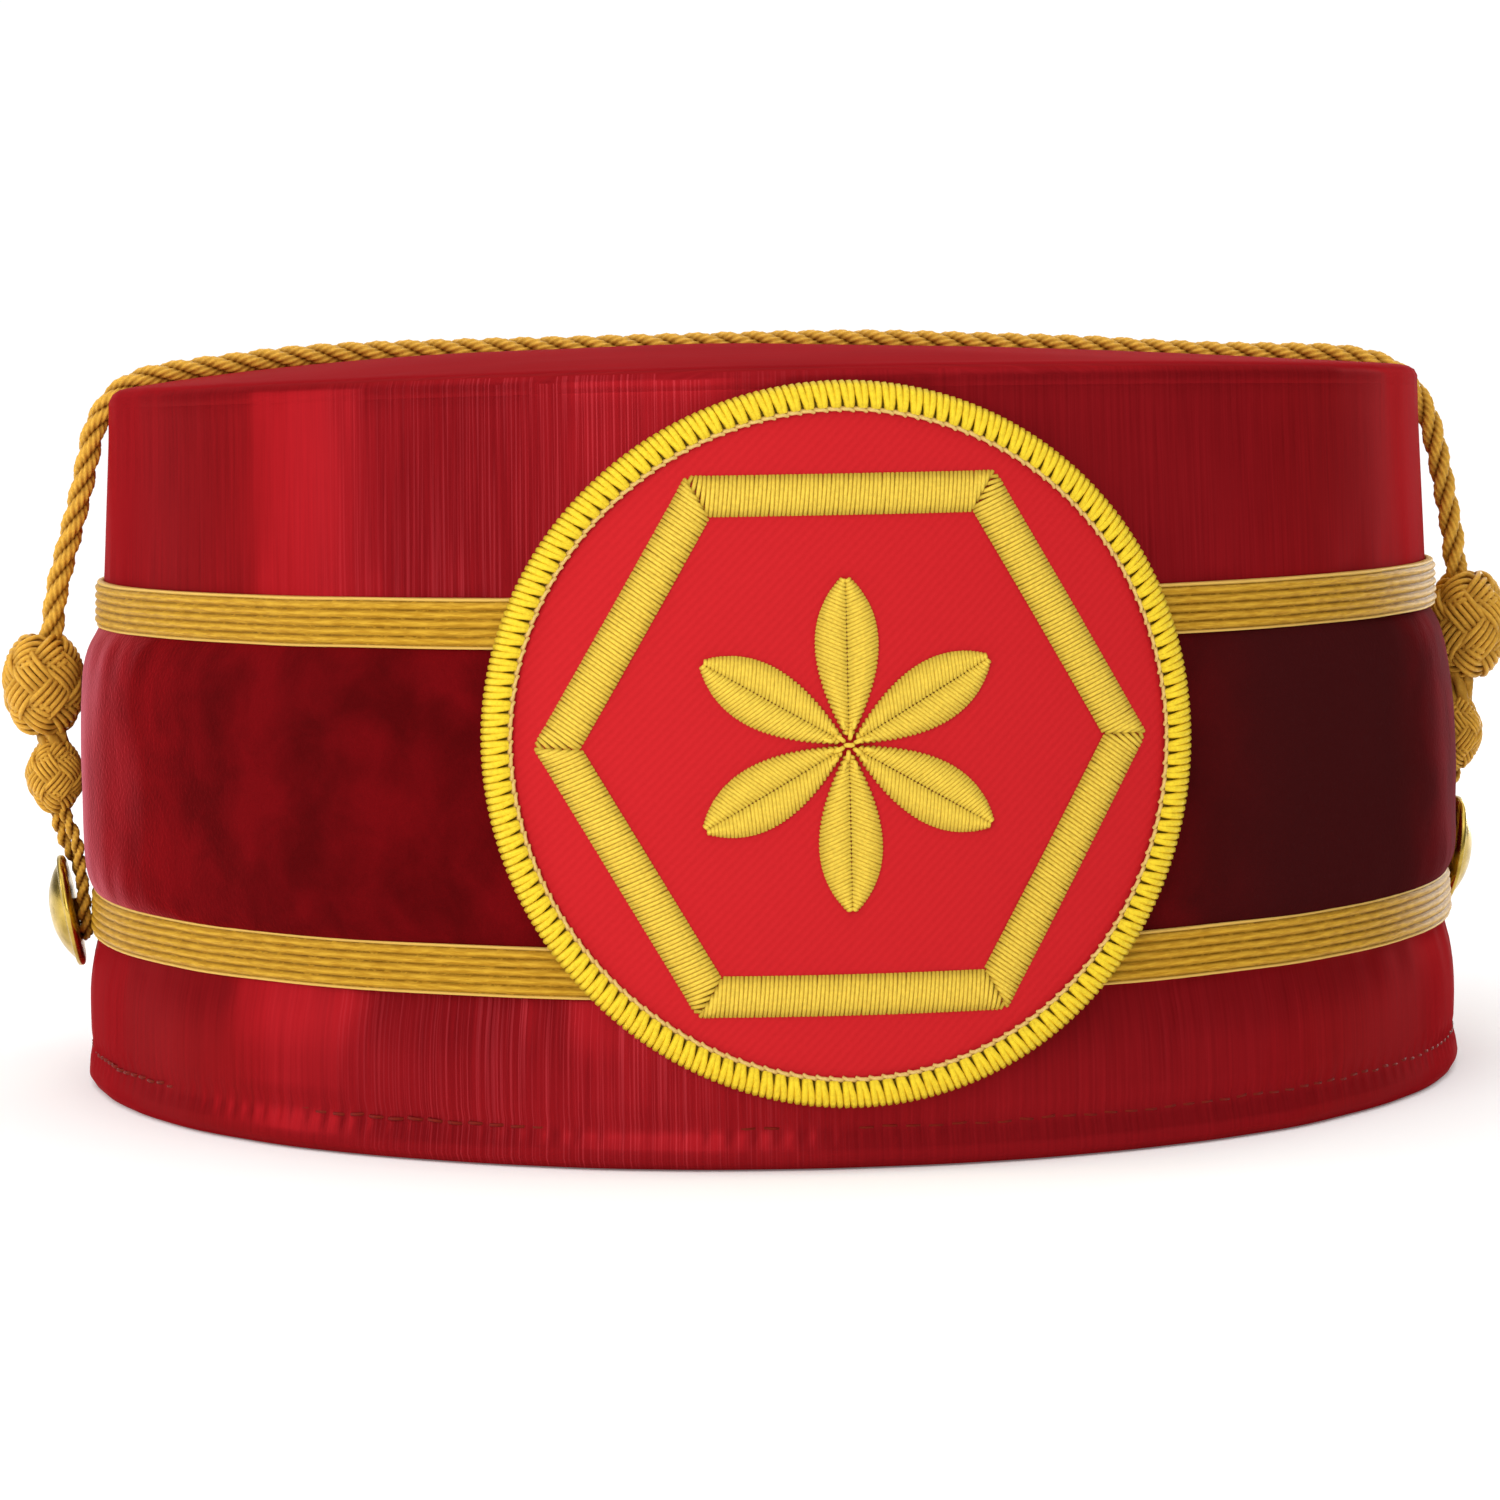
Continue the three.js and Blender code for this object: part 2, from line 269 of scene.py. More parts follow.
def repeat_round(bm: BMesh, count: int) -> None:
    """Repeats a shape in equal steps round the upright axis.

    Args:
        bm: The shape.
        count: How many make the full turn.
    """
    bmesh.ops.spin(bm, geom=bm.verts[:] + bm.edges[:] + bm.faces[:], axis=(0, 0, 1),
                   angle=math.tau - math.tau / count, steps=count - 1, use_duplicate=True)


def spun(profile: Rows, steps: int, closed: bool) -> BMesh:
    """Spins an outline round the upright axis.

    A short arc is spun first and then repeated, which is many times quicker than one fine full spin.

    Args:
        profile: The outline as (radius, height) points in mm.
        steps: How many steps make the full turn, a multiple of ARCS.
        closed: Whether the outline's last point joins its first.

    Returns:
        The shape in mm, welded, with its faces pointing outwards.
    """
    bm = bmesh.new()
    verts = [bm.verts.new((0.0, -radius, height)) for radius, height in profile]
    ends = verts[1:] + verts[:1] if closed else verts[1:]
    edges = [bm.edges.new(pair) for pair in zip(verts, ends)]
    bmesh.ops.spin(bm, geom=verts + edges, axis=(0, 0, 1), angle=math.tau / ARCS, steps=steps // ARCS)
    repeat_round(bm, ARCS)
    bmesh.ops.remove_doubles(bm, verts=bm.verts, dist=WELD)
    bmesh.ops.recalc_face_normals(bm, faces=bm.faces)
    return bm


def to_metres(bm: BMesh) -> None:
    """Turns a shape's millimetres into metres."""
    bmesh.ops.scale(bm, verts=bm.verts, vec=(MM, MM, MM))


def to_mesh(bm: BMesh, name: str) -> Mesh:
    """Turns a finished shape into a mesh.

    Args:
        bm: The shape, which is freed.
        name: The mesh's name.

    Returns:
        The mesh.
    """
    mesh = bpy.data.meshes.new(name)
    bm.to_mesh(mesh)
    bm.free()
    return mesh


def swept(lines: Sequence[Line], radius: float, sides: int, cyclic: bool = False, ridges: int = 0,
          twist: float = 0.0) -> Mesh:
    """Sweeps a round or ridged section along lines, as a curve's bevel does.

    Args:
        lines: The centre lines.
        radius: The section's radius, in the lines' unit.
        sides: How many points the section has.
        cyclic: Whether each line closes on itself.
        ridges: How many yarns show as ridges round the section, or 0 for a plain round one.
        twist: How far the section turns from one point to the next, in radians.

    Returns:
        The tubes as one mesh.
    """
    section = bpy.data.curves.new("section", "CURVE")
    outline = section.splines.new("POLY")
    outline.points.add(sides - 1)
    outline.use_cyclic_u = True
    for i, point in enumerate(outline.points):
        turn = math.tau * i / sides
        reach = radius * (1 + (RIDGE * math.cos(ridges * turn) - RIDGE / 2 if ridges else 0.0))
        point.co = (reach * math.cos(turn), reach * math.sin(turn), 0.0, 1.0)
    curve = bpy.data.curves.new("strands", "CURVE")
    curve.dimensions = "3D"
    curve.twist_mode = "MINIMUM"
    curve.bevel_mode = "OBJECT"
    curve.bevel_object = rim = add_object("section", section)
    curve.use_fill_caps = not cyclic
    for line in lines:
        spline = curve.splines.new("POLY")
        spline.points.add(len(line) - 1)
        spline.use_cyclic_u = cyclic
        for i, (point, place) in enumerate(zip(spline.points, line)):
            point.co = (*place, 1.0)
            point.tilt = twist * i
    holder = add_object("strands", curve)
    mesh = bpy.data.meshes.new_from_object(holder.evaluated_get(bpy.context.evaluated_depsgraph_get()))
    for piece, data in ((holder, curve), (rim, section)):
        bpy.data.objects.remove(piece)
        bpy.data.curves.remove(data)
    return mesh


def carried_frames(line: Line, start: Vector) -> list[tuple[Vector, Vector]]:
    """Carries a cross direction along a line without twisting it.

    Args:
        line: The points of the line.
        start: The cross direction at the first point.

    Returns:
        At each point, two directions square to the line and to each other.
    """
    made, across = [], start
    for i, _ in enumerate(line):
        along = (line[min(i + 1, len(line) - 1)] - line[max(i - 1, 0)]).normalized()
        across = (across - along * across.dot(along)).normalized()
        made.append((across, along.cross(across)))
    return made


@dataclass(frozen=True)
class Measure:
    """A measure given as (place, size) rows in mm and read off in straight runs."""

    rows: tuple[Pair, ...]

    def at(self, place: float) -> float:
        """Reads the measure off.

        Args:
            place: The place in mm.

        Returns:
            The measure there, in mm.
        """
        for (low, start), (high, end) in zip(self.rows, self.rows[1:]):
            if place <= high:
                return start + (end - start) * max(0.0, place - low) / (high - low)
        return self.rows[-1][1]


@dataclass(frozen=True)
class Ripple:
    """Soft unevenness in cloth, the same at each run: height, spread in two directions, and a seed."""

    height: float
    across: float
    along: float
    seed: float

    def at(self, first: float, second: float = 0.0) -> float:
        """The unevenness at a place, in mm."""
        return self.height * noise.noise(Vector((first / self.across, second / self.along, self.seed)))


# The satin side's half-width at each height.
SIDE_LINE = Measure(((0, 85.5), (1, 86.1), (4.6, 85.7), (12, 85.7), (17.9, 84.45), (24.9, 84.1), (59.7, 82.8),
                     (75, 82.35), (87.2, 82)))
# How deep the cord over the top presses the satin, from left to right.
CORD_PRESS = Measure(((-82, 2.6), (-80, 1.85), (-78.5, 1.2), (-77, 0.75), (-74, 0.52), (-66, 0.5),
                      (-60, 0.46), (-54, 0.56), (-46, 0.86), (-34, 1.36), (-21, 1.7), (-8, 1.68), (4, 1.4),
                      (15, 1.15), (25, 1.06), (34, 0.92), (42, 0.87), (49, 1.02), (57, 1.03), (66, 0.74),
                      (72, 0.6), (76, 0.68), (78.7, 1.1), (80.4, 1.6), (82, 2.2)))


@dataclass(frozen=True)
class Finish:
    """What every finish shares: a named material whose nodes its own class builds."""

    name: str

    def build(self, add: Adder, shader: Node) -> None:
        """Builds the finish's nodes; each finish has its own."""
        raise NotImplementedError

    def material(self) -> Material:
        """Makes the material, or returns the one made before.

        Returns:
            The material with this finish's name.
        """
        made = bpy.data.materials.get(self.name)
        if made is None:
            made = bpy.data.materials.new(self.name)
            made.use_nodes = True
            tree = made.node_tree
            self.build(partial(add_node, tree), tree.nodes["Principled BSDF"])
        return made


@dataclass(frozen=True)
class Satin(Finish):
    """Polyester satin, woven with long warp floats: a soft broad gloss broken by fine upright threads."""

    name: str = "satin_polyester"
    dark: str = "#7a1116"
    light: str = "#95181e"
    shine: str = "#c8343c"
    sheen: str = "#e01820"
    # Real floats lie about 0.15 mm apart; they are drawn 0.5 mm apart so that they show.
    thread_mm: float = 0.5
    float_mm: float = 18.0
    # A few drawn threads are painted this paler colour: a painted glint on the warp.
    drawn_glint: str = "#b8363e"
    drawn_glint_mm: float = 0.3
    drawn_glint_run_mm: float = 40.0
    cloud_mm: float = 16.0
    # The middle of the pulled stretch, from the front middle, and how far off its threads' painted glints begin
    # to fade and are gone.
    pulled_mm: float = -34.0
    fade_mm: Pair = (10.0, 36.0)

    def build(self, add: Adder, shader: Node) -> None:
        """Streaks the colour, roughness and relief along the warp, with painted glints on a few drawn threads,
        and soft clouds.

        Args:
            add: Adds a node to the material.
            shader: Its principled shader.
        """
        cloth = add("UVMap", uv_map="cloth")
        per_thread = (1 / (self.thread_mm * MM), 1 / (self.float_mm * MM), 1.0)
        threads = add("Mapping", {"Vector": cloth, "Scale": per_thread})
        streaks = add("TexNoise", {"Vector": threads, "Scale": 1.0, "Detail": 3.0, "Roughness": 0.55})
        clouds = add("TexNoise", {"Vector": cloth, "Scale": 1 / (self.cloud_mm * MM), "Detail": 2.0})
        blotched = add("Mix", {0: 0.3, 2: streaks, 3: clouds}, data_type="FLOAT")
        tint = add("MapRange", {"Value": blotched, "From Min": 0.25, "From Max": 0.75})
        warp = add("Mix", {0: tint, 6: self.dark, 7: self.light}, data_type="RGBA")
        per_drawn = (1 / (self.drawn_glint_mm * MM), 1 / (self.drawn_glint_run_mm * MM), 1.0)
        apart = add("Mapping", {"Vector": cloth, "Scale": per_drawn})
        lines = add("TexNoise", {"Vector": apart, "Scale": 1.0, "Detail": 1.0, "Roughness": 0.5})
        fine = add("MapRange", {"Value": lines, "From Min": 0.5, "From Max": 0.68})
        parts = add("SeparateXYZ", {"Vector": cloth})
        off = add("Math", {0: parts.outputs["X"], 1: self.pulled_mm * MM}, operation="SUBTRACT")
        far = add("Math", {0: off}, operation="ABSOLUTE")
        begin, gone = self.fade_mm
        shown = add("MapRange", {"Value": far, "From Min": begin * MM, "From Max": gone * MM,
                                 "To Min": 0.5, "To Max": 0.05})
        # The drawn threads' glints are painted into the colour, strongest near the pulled stretch.
        glint = add("Math", {0: fine, 1: shown}, operation="MULTIPLY")
        colour = add("Mix", {0: glint, 6: warp, 7: self.drawn_glint}, data_type="RGBA")
        gloss = add("MapRange", {"Value": streaks, "From Min": 0.3, "From Max": 0.7,
                                 "To Min": 0.3, "To Max": 0.37})
        relief = add("Bump", {"Strength": 0.2, "Distance": 0.04 * MM, "Height": blotched})
        # The floats throw back light in their own colour, as a metal does; edge on they hide each other.
        grazing = add("LayerWeight")
        for socket, facing, edge_on, low, high in (("Metallic", 0.45, 0.06, 0.4, 0.95),
                                                   ("Specular IOR Level", 0.03, 0.00005, 0.2, 0.8)):
            feed(shader, {socket: add("MapRange", {"Value": grazing.outputs["Facing"], "From Min": low,
                                                   "From Max": high, "To Min": facing, "To Max": edge_on},
                                      interpolation_type="SMOOTHERSTEP")})
        feed(shader, {"Base Color": colour, "Roughness": gloss, "Normal": relief,
                      "Specular Tint": self.shine, "Sheen Weight": 0.22, "Sheen Roughness": 0.3,
                      "Sheen Tint": self.sheen, "Anisotropic": 0.5, "Anisotropic Rotation": 0.25})


@dataclass(frozen=True)
class Velvet(Finish):
    """Crushed cotton velvet, a cut pile: dark when faced, rosy at grazing angles, mottled where crushed."""

    name: str = "velvet_cotton_pile"
    dark: str = "#4c0507"
    light: str = "#6c080d"
    # The tips of the pile are paler than its sides, and show only at the rim.
    sheen: str = "#ff1824"
    tips: str = "#ff98aa"
    # Along the brushed stretch the pile leans forward and its colour is darkened to this one: painted shade.
    brushed_shade: str = "#390e0f"
    # The brushed stretch, with its lean and its painted shade, comes in and goes out again between these places
    # round the band, in mm from the front middle.
    brushed_shade_in: Pair = (20.0, 62.0)
    brushed_shade_out: Pair = (82.0, 114.0)
    # The pile lies flat, with little sheen, between these places.
    flat_in: Pair = (60.0, 100.0)
    flat_out: Pair = (150.0, 190.0)
    lean: float = 0.3
    pile_mm: float = 0.6
    crush_mm: float = 9.0

    def stretch(self, add: Adder, along: NodeSocket, *ends: Pair) -> Node:
        """Marks a stretch of the band that comes in and goes out again softly.

        Args:
            add: Adds a node to the material.
            along: The place round the band in metres.
            ends: Where the stretch comes in and where it goes out, each from one place to another in mm.

        Returns:
            The node that gives 1 on the stretch and 0 off it.
        """
        begun, ended = (add("MapRange", {"Value": along, "From Min": low * MM, "From Max": high * MM},
                            interpolation_type="SMOOTHSTEP") for low, high in ends)
        return add("Math", {0: begun, 1: ended}, operation="SUBTRACT")

    def build(self, add: Adder, shader: Node) -> None:
        """Mottles the pile, paints shade along the brushed stretch and gives it a strong sheen.

        Args:
            add: Adds a node to the material.
            shader: Its principled shader.
        """
        cloth = add("UVMap", uv_map="cloth")
        patches = add("TexNoise", {"Vector": cloth, "Scale": 1 / (self.crush_mm * MM), "Detail": 3.0,
                                   "Roughness": 0.5, "Distortion": 0.3})
        pile = add("TexNoise", {"Vector": cloth, "Scale": 1 / (self.pile_mm * MM), "Detail": 2.0})
        lie = add("MapRange", {"Value": patches, "From Min": 0.36, "From Max": 0.64})
        nap = add("Mix", {0: 0.2, 2: lie, 3: pile}, data_type="FLOAT")
        colour = add("Mix", {0: nap, 6: self.dark, 7: self.light}, data_type="RGBA")
        place = add("SeparateXYZ", {"Vector": cloth}).outputs["X"]
        brushed_shade = self.stretch(add, place, self.brushed_shade_in, self.brushed_shade_out)
        flattened = self.stretch(add, place, self.flat_in, self.flat_out)
        # Painted shade: the brushed stretch is darkened towards the brushed colour.
        shaded = add("Mix", {0: brushed_shade, 6: colour, 7: self.brushed_shade}, data_type="RGBA")
        along = add("Tangent", direction_type="UV_MAP", uv_map="cloth")
        lean = add("Math", {0: brushed_shade, 1: -self.lean}, operation="MULTIPLY")
        tilt = add("VectorMath", {0: along, "Scale": lean}, operation="SCALE")
        facing = add("NewGeometry")
        leaning = add("VectorMath", {0: facing.outputs["Normal"], 1: tilt}, operation="ADD")
        upright = add("VectorMath", {0: leaning}, operation="NORMALIZE")
        crush = add("Bump", {"Strength": 0.4, "Distance": 0.4 * MM, "Height": patches, "Normal": upright})
        relief = add("Bump", {"Strength": 0.4, "Distance": 0.25 * MM, "Height": pile, "Normal": crush})
        sheen = add("MapRange", {"Value": flattened, "To Min": 1.0, "To Max": 0.12})
        grazing = add("LayerWeight")
        tips = add("MapRange", {"Value": grazing.outputs["Facing"], "From Min": 0.66, "From Max": 0.97})
        bloom = add("Mix", {0: tips, 6: self.sheen, 7: self.tips}, data_type="RGBA")
        feed(shader, {"Base Color": shaded, "Normal": relief, "Roughness": 0.95, "Specular IOR Level": 0.02,
                      "Sheen Weight": sheen, "Sheen Roughness": 0.3, "Sheen Tint": bloom})


@dataclass(frozen=True)
class BraidRayon(Finish):
    """Woven rayon braid: lustrous threads along each rib with painted shade in the grooves, paler at the two
    edges where light goes through.
    """

    name: str = "braid_rayon"
    # The grooves between the ribs are painted this dark colour: painted shade.
    groove: str = "#7c5410"
    dark: str = "#b98822"
    light: str = "#d6a634"
    edge: str = "#dfb65c"
    shine: str = "#ffd070"
    width_mm: float = 5.7
    edge_mm: float = 0.42
    edge_blur_mm: float = 0.1
    # Real threads are about 0.1 mm thick; they are drawn 0.3 mm thick so that they show.
    thread_mm: float = 0.3
    slub_mm: float = 3.0
    fleck_mm: float = 1.3

    def build(self, add: Adder, shader: Node) -> None:
        """Runs fine threads along the ribs, paints shade in the grooves between them and lightens the edges.

        Args:
            add: Adds a node to the material.
            shader: Its principled shader.
        """
        cloth = add("UVMap", uv_map="cloth")
        per_thread = (1 / (self.slub_mm * MM), 1 / (self.thread_mm * MM), 1.0)
        threads = add("Mapping", {"Vector": cloth, "Scale": per_thread})
        slubs = add("TexNoise", {"Vector": threads, "Scale": 1.0, "Detail": 3.0, "Roughness": 0.65})
        tint = add("MapRange", {"Value": slubs, "From Min": 0.38, "From Max": 0.6})
        ribs = add("Mix", {0: tint, 6: self.dark, 7: self.light}, data_type="RGBA")
        height = add("Attribute", attribute_name="crown")
        per_fleck = (1 / (self.fleck_mm * MM), 0.5 / (self.thread_mm * MM), 1.0)
        flecked = add("Mapping", {"Vector": cloth, "Scale": per_fleck})
        flecks = add("TexNoise", {"Vector": flecked, "Scale": 1.0, "Detail": 2.0, "Roughness": 0.7})
        covered = add("MapRange", {"Value": flecks, "From Min": 0.42, "From Max": 0.6, "To Max": 0.8})
        lifted = add("Math", {0: height.outputs["Fac"], 1: covered}, operation="MAXIMUM")
        # Painted shade: the grooves take the groove colour where the flecks leave them bare.
        ridged = add("Mix", {0: lifted, 6: self.groove, 7: ribs}, data_type="RGBA")
        parts = add("SeparateXYZ", {"Vector": cloth})
        from_middle = add("Math", {0: parts.outputs["Y"]}, operation="ABSOLUTE")
        inside = self.width_mm / 2 - self.edge_mm
        rim = add("MapRange", {"Value": from_middle, "From Min": inside * MM,
                               "From Max": (inside + self.edge_blur_mm) * MM})
        colour = add("Mix", {0: rim, 6: ridged, 7: self.edge}, data_type="RGBA")
        relief = add("Bump", {"Strength": 0.5, "Distance": 0.08 * MM, "Height": slubs})
        feed(shader, {"Base Color": colour, "Normal": relief, "Roughness": 0.46, "Specular IOR Level": 0.1,
                      "Specular Tint": self.shine})


@dataclass(frozen=True)
class Twill(Finish):
    """Polyester badge twill: matt and even, with fine slanting wales."""

    name: str = "badge_twill_polyester"
    dark: str = "#bd1b20"
    light: str = "#cc2228"
    # Real wales lie about 0.35 mm apart; they are drawn 0.8 mm apart so that they show.
    wale_mm: float = 0.8

    def build(self, add: Adder, shader: Node) -> None:
        """Draws the wales at 45 degrees, with a little unevenness.

        Args:
            add: Adds a node to the material.
            shader: Its principled shader.
        """
        cloth = add("UVMap", uv_map="cloth")
        turned = add("Mapping", {"Vector": cloth, "Rotation": (0.0, 0.0, math.radians(45)),
                                 "Scale": (1 / (self.wale_mm * MM),) * 3})
        wales = add("TexWave", {"Vector": turned, "Scale": ONE_BAND, "Distortion": 0.6, "Detail": 2.0,
                                "Detail Scale": 3.0}, wave_type="BANDS", bands_direction="X",
                    wave_profile="SIN")
        fuzz = add("TexNoise", {"Vector": turned, "Scale": 1.6, "Detail": 3.0, "Roughness": 0.7})
        weave = add("Mix", {0: 0.65, 2: wales.outputs["Fac"], 3: fuzz}, data_type="FLOAT")
        colour = add("Mix", {0: weave, 6: self.dark, 7: self.light}, data_type="RGBA")
        relief = add("Bump", {"Strength": 0.4, "Distance": 0.1 * MM, "Height": weave})
        feed(shader, {"Base Color": colour, "Normal": relief, "Roughness": 0.72, "Specular IOR Level": 0.08})


@dataclass(frozen=True)
class SpunThread(Finish):
    """Twisted rayon thread or cord: bright lustre on the crowns, and brown painted shade where the strands dip
    between.
    """

    name: str
    # The colour in the grooves and low places is painted shade.
    groove_shade: str
    crown: str
    ply_mm: float
    lustre: float = 0.42
    shine: float = 0.25
    shine_tint: str = "#ffd870"

    def build(self, add: Adder, shader: Node) -> None:
        """Paints shade from the grooves to the crowns and breaks the colour into fine plies.

        Args:
            add: Adds a node to the material.
            shader: Its principled shader.
        """
        height = add("Attribute", attribute_name="crown")
        place = add("TexCoord")
        plies = add("TexNoise", {"Vector": place.outputs["Object"], "Scale": 1 / (self.ply_mm * MM),
                                 "Detail": 3.0, "Roughness": 0.65})
        raised = add("MapRange", {"Value": plies, "From Min": 0.3, "From Max": 0.7,
                                  "To Min": 0.72, "To Max": 1.12})
        shade = add("Math", {0: height.outputs["Fac"], 1: raised}, operation="MULTIPLY", use_clamp=True)
        colour = add("Mix", {0: shade, 6: self.groove_shade, 7: self.crown}, data_type="RGBA")
        relief = add("Bump", {"Strength": 0.3, "Distance": 0.06 * MM, "Height": plies})
        feed(shader, {"Base Color": colour, "Normal": relief, "Roughness": self.lustre,
                      "Specular IOR Level": self.shine, "Specular Tint": self.shine_tint})


@dataclass(frozen=True)
class GiltBrass(Finish):
    """Stamped gilt brass, polished: warm mirror reflections dulled a little by handling."""

    name: str = "gilt_brass_polished"
    bright: str = "#d8b858"
    dull: str = "#a88c38"
    stain_mm: float = 3.0

    def build(self, add: Adder, shader: Node) -> None:
        """Clouds the polish with faint stains.

        Args:
            add: Adds a node to the material.
            shader: Its principled shader.
        """
        place = add("TexCoord")
        stains = add("TexNoise", {"Vector": place.outputs["Object"], "Scale": 1 / (self.stain_mm * MM),
                                  "Detail": 4.0})
        worn = add("MapRange", {"Value": stains, "From Min": 0.4, "From Max": 0.7})
        colour = add("Mix", {0: worn, 6: self.bright, 7: self.dull}, data_type="RGBA")
        gloss = add("MapRange", {"Value": stains, "From Min": 0.3, "From Max": 0.75,
                                 "To Min": 0.16, "To Max": 0.34})
        feed(shader, {"Base Color": colour, "Roughness": gloss, "Metallic": 1.0})


@dataclass(frozen=True)
class PaperSweep(Finish):
    """Matt white studio paper: even and pale, with a trace of mottle."""

    name: str = "studio_paper"
    dark: str = "#f8f8f7"
    light: str = "#fdfdfd"
    # The paper is lit from behind as well, so that shadows on it stay pale.
    glow: float = 0.12

    def build(self, add: Adder, shader: Node) -> None:
        """Mottles the paper faintly.

        Args:
            add: Adds a node to the material.
            shader: Its principled shader.
        """
        place = add("TexCoord")
        mottle = add("TexNoise", {"Vector": place.outputs["Object"], "Scale": 6.0})
        colour = add("Mix", {0: mottle, 6: self.dark, 7: self.light}, data_type="RGBA")
        feed(shader, {"Base Color": colour, "Roughness": 0.9, "Specular IOR Level": 0.1,
                      "Emission Color": self.light, "Emission Strength": self.glow})


SATIN = Satin()
VELVET = Velvet()
BRAID = BraidRayon()
TWILL = Twill()
CORD_THREAD = SpunThread("cord_rayon", groove_shade="#6e380a", crown="#ebb344", ply_mm=0.5, lustre=0.36, shine=0.4)
BORDER_THREAD = SpunThread("badge_border_rayon", groove_shade="#a8861c", crown="#f5d634", ply_mm=0.45)
NEEDLE_THREAD = SpunThread("badge_needlework_rayon", groove_shade="#a8862a", crown="#f0cf4e", ply_mm=0.45)
CHAIN_THREAD = SpunThread("badge_chain_rayon", groove_shade="#b07c30", crown="#f2d284", ply_mm=0.4)
# The border's core is dark: painted shade in the gaps between the border's stitches.
CORE_SHADE_THREAD = SpunThread("badge_core_shade_rayon", groove_shade="#54430a", crown="#86701a", ply_mm=0.45)
HEM_THREAD = SpunThread("hem_thread_polyester", groove_shade="#4c0709", crown="#7e1016", ply_mm=0.4, lustre=0.55)
GILT = GiltBrass()


@dataclass
class SubAssembly:
    """What every sub-assembly shares: it hands finished meshes over as pieces of the cap."""

    def hand_over(self, mesh: BMesh | Mesh, name: str, finish: Finish, slot: Slot, *nodes: str) -> Object:
        """Makes a piece of a finished mesh, dressed and riding on the cap.

        Args:
            mesh: The mesh in metres, in place.
            name: The piece's name.
            finish: The finish that it wears.
            slot: The record's material slot; not used.
            nodes: The solids that it stands for.

        Returns:
            The piece.
        """
        if isinstance(mesh, BMesh):
            mesh = to_mesh(mesh, name)
        mesh.name = name
        mesh.shade_smooth()
        mesh.materials.clear()
        mesh.materials.append(finish.material())
        piece = add_object(name, mesh)
        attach(piece, BODY)
        if nodes:
            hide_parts(*nodes)
        LOG.info("%s: %d faces, stands for %s", name, len(mesh.polygons), ", ".join(nodes) or "no solid")
        return piece

    def crowned(self, mesh: Mesh, height: Callable[[Vector], float]) -> Mesh:
        """Marks how far each point stands out of its grooves, for the finish to read.

        Args:
            mesh: The mesh to mark.
            height: Gives 0 in a groove and 1 on a crown, for a point.

        Returns:
            The same mesh.
        """
        mark = mesh.attributes.new("crown", "FLOAT", "POINT")
        mark.data.foreach_set("value", [min(1.0, max(0.0, height(v.co))) for v in mesh.vertices])
        return mesh


